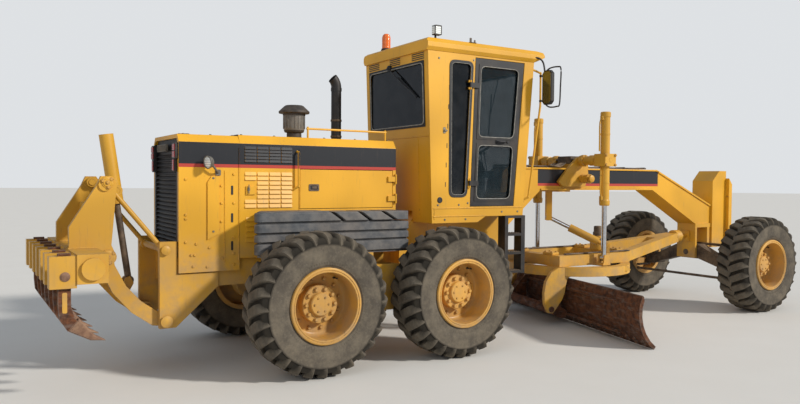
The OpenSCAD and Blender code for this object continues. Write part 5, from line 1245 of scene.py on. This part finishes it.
class GRADER_OT_linkage(Operator):
    """Glands, pipes, bolts and caps of the front frame, lift gear, circle, blade and ripper"""
    bl_idname = "grader.linkage"
    bl_label = "Linkage fittings"

    def execute(self, context):
        for side, label in SIDES:
            self.lift(side, label)
            self.saddle(side, label)
        self.frame_top()
        self.circle()
        self.blade()
        self.ripper()
        return {"FINISHED"}

    def lift(self, side, label):
        """Gland, cap, ports, feed pipes and straps on a lift cylinder."""
        foot = at(LIFT_X, side * LIFT_Y, 0)
        profiles = [[(1.600, 0.040), (1.600, 0.058), (1.606, 0.066), (1.640, 0.071), (1.664, 0.072),
                     (1.672, 0.066), (1.690, 0.063)],
                    [(2.800, 0.0625), (2.806, 0.069), (2.862, 0.069), (2.874, 0.060), (2.878, 0.0)],
                    band(1.900, 0.022, 0.0625, 0.0655), band(2.560, 0.022, 0.0625, 0.0655)]
        shapes = [lathe(profile, foot) for profile in profiles]
        shapes += [chamfered_block(at(3.640, side * LIFT_Y, z), (0.050, 0.046, 0.060), 0.005)
                   for z in (1.700, 2.790)]
        shapes += [pipe(knots, PIPE_RADIUS, side) for knots in (
            [(3.625, 0.672, 1.715), (3.604, 0.674, 1.790), (3.604, 0.674, 1.960), (3.610, 0.670, 2.100)],
            [(3.626, 0.646, 2.780), (3.606, 0.646, 2.700), (3.606, 0.646, 2.500), (3.606, 0.646, 2.340)])]
        piece(f"lift_gland_{label}", shapes, f"lift_barrel_{label}", "frame_paint", "frame")

    def saddle(self, side, label):
        """Trunnion rings, pin and bolts on one side of the lift saddle."""
        axis, trunnion, pin = (0, side, 0), at(LIFT_X, 0, 2.220), at(3.720, 0, 1.966)
        rings = [lathe([(0.245, 0.0), (0.245, 0.082), (0.300, 0.082), (0.305, 0.078), (0.305, 0.0)],
                       trunnion, axis, 40),
                 lathe([(0.400, 0.062), (0.404, 0.074), (0.520, 0.074), (0.526, 0.062)], trunnion, axis, 40),
                 lathe([(0.395, 0.0), (0.395, 0.052), (0.412, 0.050), (0.418, 0.040), (0.418, 0.0)], pin, axis)]
        rings += [lathe(band(d, 0.020, 0.0585, 0.066)[:4], pin, axis) for d in (0.250, 0.350)]
        piece(f"saddle_rings_{label}", rings, "front_body", "frame_paint", "frame")
        clamp = [at(x, side * 0.7605, z) for x in (3.612, 3.788) for z in (2.155, 2.285)]
        collar = ring_of_points(trunnion + (0, side * 0.300, 0), axis, 0.003, 0.066, 8)
        bolts = [hex_bolts(clamp, axis, 0.030, 0.018), hex_bolts(collar, axis, 0.020, 0.012)]
        piece(f"saddle_bolts_{label}", bolts, "front_body", "frame_paint", "nut")

    def frame_top(self):
        """Steel pipes clipped along the beam's top, the swivel valve and the push block's bolts."""
        pipes = []
        for k, y in enumerate((-0.105, -0.066, -0.027, 0.027, 0.066, 0.105)):
            pipes.append(pipe([(2.375, y, 2.100), (2.385, y, 2.136), (2.450, y, 2.140), (2.900, y, 2.136),
                               (3.300, y, 2.136), (3.420 - 0.03 * (k % 3), y, 2.140), (3.505, y * 1.05, 2.185)],
                              PIPE_RADIUS, sides=10))
        clips = [slab(tile(0.125, 0.014, 0.006), at(x, 0, 2.146), UPWARD_ACROSS, 0.006)
                 for x in (2.55, 2.88, 3.21)]
        piece("beam_pipes", pipes, "front_body", "black_paint", "oily")
        piece("beam_clips", clips, "front_body", "frame_paint", "frame")
        spool = [(0.0, 0.0), (0.0, 0.016), (0.040, 0.016), (0.046, 0.010), (0.046, 0.0)]
        bank = [chamfered_block(at(LIFT_X, 0, 2.231), (0.240, 0.260, 0.110), 0.008)]
        bank += [lathe(spool, at(3.600 + 0.040 * k, side * 0.131, 2.236), (0, side, 0), 12)
                 for k in range(6) for side, _ in SIDES]
        piece("swivel_valve", bank, "front_body", "dark_steel", "oily")
        ahead = [pipe([(3.860, y, 2.180), (3.930, y, 2.140), (4.100, y, 2.134), (4.700, y, 2.134),
                       (5.250, y, 2.134)], PIPE_RADIUS, sides=10) for y in (-0.060, 0.0, 0.060)]
        ahead += [slab(tile(0.085, 0.014, 0.006), at(x, 0, 2.144), UPWARD_ACROSS, 0.006)
                  for x in (4.25, 4.75, 5.20)]
        piece("beam_pipes_ahead", ahead, "front_body", "black_paint", "oily")
        plate = [at(7.160, y, z) for y in (-0.170, 0.170) for z in (1.00, 1.90)]
        piece("push_plate_bolts", hex_bolts(plate, AHEAD, 0.036, 0.022), "front_body", "body_paint", "bolt")

    def circle(self):
        """Teeth inside the circle, its guide shoes, the motor that turns it and the drawbar's pipes."""
        tooth = slab([[-0.019, 0.0], [0.019, 0.0], [0.010, 0.034], [-0.010, 0.034]], (0.742, 0, 0.690),
                     UPWARD_ACROSS, 0.070)
        teeth = spun_copies(tooth, CIRCLE_CENTRE, UP, full_turn(CIRCLE_TEETH))
        piece("circle_teeth", teeth, "circle", "frame_paint", "oily")
        motor = [lathe([(1.128, 0.0), (1.128, 0.070), (1.180, 0.070), (1.186, 0.060), (1.262, 0.058),
                        (1.272, 0.046), (1.276, 0.0)], MOTOR_CENTRE, UP, 40),
                 lathe([(1.060, 0.112), (1.062, 0.128), (1.084, 0.128), (1.088, 0.112)], MOTOR_CENTRE, UP, 40),
                 hex_bolts(ring_of_points(MOTOR_CENTRE, UP, 1.090, 0.094, 12), UP, 0.020, 0.012)]
        piece("circle_motor", motor, "drawbar", "frame_paint", "oily")
        places = ((3.070, -0.300), (3.070, 0.300), (4.290, -0.330), (4.290, 0.330))
        shoes = [chamfered_block(at(x, y, 0.948), (0.130, 0.190, 0.036), 0.006) for x, y in places]
        heads = [at(x + dx, y + dy, 0.966) for x, y in places
                 for dx in (-0.040, 0.040) for dy in (-0.060, 0.060)]
        piece("shoe_blocks", shoes, "drawbar", "frame_paint", "frame")
        piece("shoe_bolts", hex_bolts(heads, UP, 0.028, 0.016), "drawbar", "frame_paint", "nut")
        pipes = [pipe([(4.380, 0.515 - gap, 0.946), (4.200, 0.470 - gap, 0.942), (3.700, 0.470 - gap, 0.942),
                       (3.180, 0.470 - gap, 0.942)], PIPE_RADIUS, side, 10)
                 for side, _ in SIDES for gap in (0.0, 0.032)]
        piece("drawbar_pipes", pipes, "drawbar", "black_paint", "oily")

    def blade(self):
        """Two rows of plough bolts hold the cutting edge, with their nuts behind; its seams and the top rim."""
        along = np.arange(-2.130, 2.000, 0.152)
        dome = lathe([(0.0, 0.0), (0.0, 0.019), (0.004, 0.017), (0.007, 0.009), (0.008, 0.0)], sides=12)
        heads, nuts = [], []
        for angle in (223.6, 218.2):
            outward = BLADE_TURN @ (math.cos(math.radians(angle)), 0.0, math.sin(math.radians(angle)))
            heads.append(copies(dome, blade_line(angle, 0.4842, along), frame_along(-outward)))
            nuts.append(hex_bolts(blade_line(angle, 0.5250, along), outward, 0.032, 0.024))
        piece("plough_bolts", heads, "blade", "blade_steel", "edge")
        piece("plough_nuts", nuts, "blade", "blade_steel", "blade")
        lines = [tube(blade_line(angle, 0.4845, (-2.205, 0.0, 2.045)), 0.004, 6) for angle in (231.8, 216.4)]
        lines.append(tube(blade_line(157.3, 0.512, (-2.200, 0.0, 2.040)), 0.013, 8))
        piece("edge_line", lines, "blade", "blade_steel", "blade")

    def ripper(self):
        """Cast tooth tips, slots, pins, caps and welds on the ripper."""
        tip = np.array([[-2.970, 0.735], [-3.040, 0.662], [-3.052, 0.636], [-2.880, 0.545], [-2.758, 0.532],
                        [-2.848, 0.588], [-2.930, 0.692]]) + (TANDEM_X, 0)
        slot = rectangle(-3.100, -3.060, 0.790, 0.965, 0.014) + (TANDEM_X, 0)
        holder_pin = [(0.064, 0.0), (0.064, 0.040), (0.070, 0.040), (0.074, 0.034), (0.080, 0.024),
                      (0.082, 0.0)]
        tips, slots, pins, caps, bolts, welds, feet = ([] for _ in range(7))
        for y in ((k - SHANKS // 2) * SHANK_PITCH for k in range(SHANKS)):
            tips.append(slab(tip, (0, y + 0.040, 0), sideward(-1.0), 0.080, 0.010))
            for side, _ in SIDES:
                slots.append(slab(slot * (-side, 1.0), (0, y + side * 0.0295, 0), sideward(side), 0.003, 0.001))
                pins.append(lathe(holder_pin, at(-3.080, y, 1.100), (0, side, 0), 20))
        for side, _ in SIDES:
            axis = (0, side, 0)
            for x, z, r in ((-2.641, 1.189, 0.072), (-2.648, 1.881, 0.058)):
                caps.append(lathe([(0.493, 0.0), (0.493, r * 0.86), (0.499, r * 0.86), (0.503, r * 0.66),
                                   (0.508, r * 0.60), (0.508, 0.0)], at(x, 0, z), axis))
                heads = [at(x + r * 0.74 * math.cos(a), side * 0.499, z + r * 0.74 * math.sin(a))
                         for a in (0.7, 2.8, 4.9)]
                bolts.append(hex_bolts([at(x, side * 0.508, z), *heads], axis, 0.026, 0.014))
            welds += [tube([at(x, side * y, z) for x, z in WELD], r, 6)
                      for y, r in ((0.4105, 0.008), (0.4795, 0.009))]
            feet += [lathe([(0.498, 0.0), (0.498, r), (0.508, r), (0.512, r * 0.7), (0.516, r * 0.5),
                            (0.516, 0.0)], at(x, 0, z), axis, 28)
                     for x, z, r in ((-2.114, 0.539, 0.058), (-2.121, 1.231, 0.046))]
        for name, shapes, body, material_slot, finish in (
                ("ripper_tips", tips, "ripper_frame", "blade_steel", "tip"),
                ("shank_slots", slots, "ripper_frame", "frame_paint", "frame"),
                ("holder_pins", pins, "ripper_frame", "dark_steel", "tip"),
                ("ripper_pin_caps", caps, "ripper_frame", "frame_paint", "frame"),
                ("ripper_bolts", bolts, "ripper_frame", "frame_paint", "nut"),
                ("ripper_welds", welds, "ripper_frame", "frame_paint", "frame"),
                ("mount_pin_caps", feet, "rear_body", "frame_paint", "frame")):
            piece(name, shapes, body, material_slot, finish)


# Stage

CAMERA_PLACE = (-3.885, -7.619, 1.912)
SENSOR_WIDTH = 36.0
FLOOR_REACH = 160.0
# Name, turn in degrees, strength and angular size in degrees
SUNS = (("key_sun", (61, 0, 40), 3.15, 5), ("fill_sun", (62, 0, -60), 0.45, 40))


class GRADER_OT_stage(Operator):
    """Pale floor, soft studio light and the camera at the photograph's viewing angle"""
    bl_idname = "grader.stage"
    bl_label = "Stage"

    def execute(self, context):
        self.camera(context, context.scene.grader_stage)
        self.floor(context)
        self.light(context)
        context.scene.view_settings.view_transform = "Standard"
        return {"FINISHED"}

    def camera(self, context, settings):
        """The camera's axes: ahead by yaw and pitch, right level with the ground, both then rolled."""
        yaw, pitch, roll = settings.yaw, settings.pitch, settings.roll
        ahead = np.array([math.sin(yaw) * math.cos(pitch), math.cos(yaw) * math.cos(pitch), math.sin(pitch)])
        right = np.array([math.cos(yaw), -math.sin(yaw), 0.0])
        up = np.cross(right, ahead)
        data = bpy.data.cameras.new("photo_view")
        data.sensor_width = SENSOR_WIDTH
        data.sensor_fit = "HORIZONTAL"
        data.lens = settings.lens
        data.clip_end = 400.0
        camera = bpy.data.objects.new("photo_view", data)
        matrix = np.eye(4)
        matrix[:3, 0] = right * math.cos(roll) + up * math.sin(roll)
        matrix[:3, 1] = -right * math.sin(roll) + up * math.cos(roll)
        matrix[:3, 2] = -ahead
        matrix[:3, 3] = at(*CAMERA_PLACE)
        camera.matrix_world = Matrix(matrix.tolist())
        context.scene.collection.objects.link(camera)
        context.scene.camera = camera

    def floor(self, context):
        """A flat disc of pale concrete under the wheels."""
        points, faces = lathe([(0, 0), (0, 12.0), (0, FLOOR_REACH)], sides=64)
        mesh = bpy.data.meshes.new("pale_floor")
        mesh.from_pydata(points.tolist(), [], [f[::-1] for f in faces])
        tidy_mesh(mesh)
        s = Surface("pale_studio_floor")
        mesh.materials.append(s.finish(s.mix(s.noise(1.5, 3.0), linear("#D9D6D0"), linear("#DEDCD7")), 0.9))
        floor = bpy.data.objects.new("pale_floor", mesh)
        context.scene.collection.objects.link(floor)

    def light(self, context):
        """A low sun from ahead and the machine's right, a weak broad one from behind and the right, and a
        pale sky that only the camera and rays through glass see brighter than it shines."""
        world = bpy.data.worlds.new("pale_sky")
        context.scene.world = world
        world.use_nodes = True
        tree = world.node_tree
        tree.nodes.clear()
        rays = add(tree, "ShaderNodeLightPath").outputs
        seen = add(tree, "ShaderNodeMath", {0: rays["Is Camera Ray"], 1: rays["Is Transmission Ray"]},
                   operation="MAXIMUM").outputs[0]
        light = add(tree, "ShaderNodeBackground", {"Color": linear("#DDE6F2"), "Strength": 0.46})
        shown = add(tree, "ShaderNodeBackground", {"Color": linear("#E9ECEF"), "Strength": 0.9})
        both = add(tree, "ShaderNodeMixShader", {0: seen, 1: light.outputs[0], 2: shown.outputs[0]})
        add(tree, "ShaderNodeOutputWorld", {"Surface": both.outputs[0]})
        for name, rotation, strength, angle in SUNS:
            data = bpy.data.lights.new(name, "SUN")
            data.energy = strength
            data.angle = math.radians(angle)
            data.color = (1.0, 0.96, 0.90)
            sun = bpy.data.objects.new(name, data)
            sun.rotation_euler = [math.radians(a) for a in rotation]
            context.scene.collection.objects.link(sun)


OPERATORS = [GRADER_OT_stage, GRADER_OT_finishes, GRADER_OT_tyres, GRADER_OT_wheels, GRADER_OT_hood,
             GRADER_OT_cab, GRADER_OT_guards, GRADER_OT_linkage]
SETTINGS = {"grader_paint": GraderPaint, "grader_tyres": GraderTyres, "grader_stage": GraderStage}


class GRADER_PT_sidebar(Panel):
    """Lists the grader's operators and settings"""
    bl_idname = "GRADER_PT_sidebar"
    bl_label = "Motor grader"
    bl_space_type = "VIEW_3D"
    bl_region_type = "UI"
    bl_category = "Grader"

    def draw(self, context):
        for operator in OPERATORS:
            self.layout.operator(operator.bl_idname)
        for name, group in SETTINGS.items():
            box = self.layout.box()
            for key in group.__annotations__:
                box.prop(getattr(context.scene, name), key)


def register():
    for name, group in SETTINGS.items():
        bpy.utils.register_class(group)
        setattr(bpy.types.Scene, name, PointerProperty(type=group))
    for entry in [*OPERATORS, GRADER_PT_sidebar]:
        bpy.utils.register_class(entry)


def unregister():
    for entry in [GRADER_PT_sidebar, *reversed(OPERATORS)]:
        bpy.utils.unregister_class(entry)
    for name, group in SETTINGS.items():
        delattr(bpy.types.Scene, name)
        bpy.utils.unregister_class(group)


def main():
    """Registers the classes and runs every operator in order."""
    register()
    for operator in OPERATORS:
        group, name = operator.bl_idname.split(".")
        getattr(getattr(bpy.ops, group), name)()


if __name__ == "__main__":
    main()
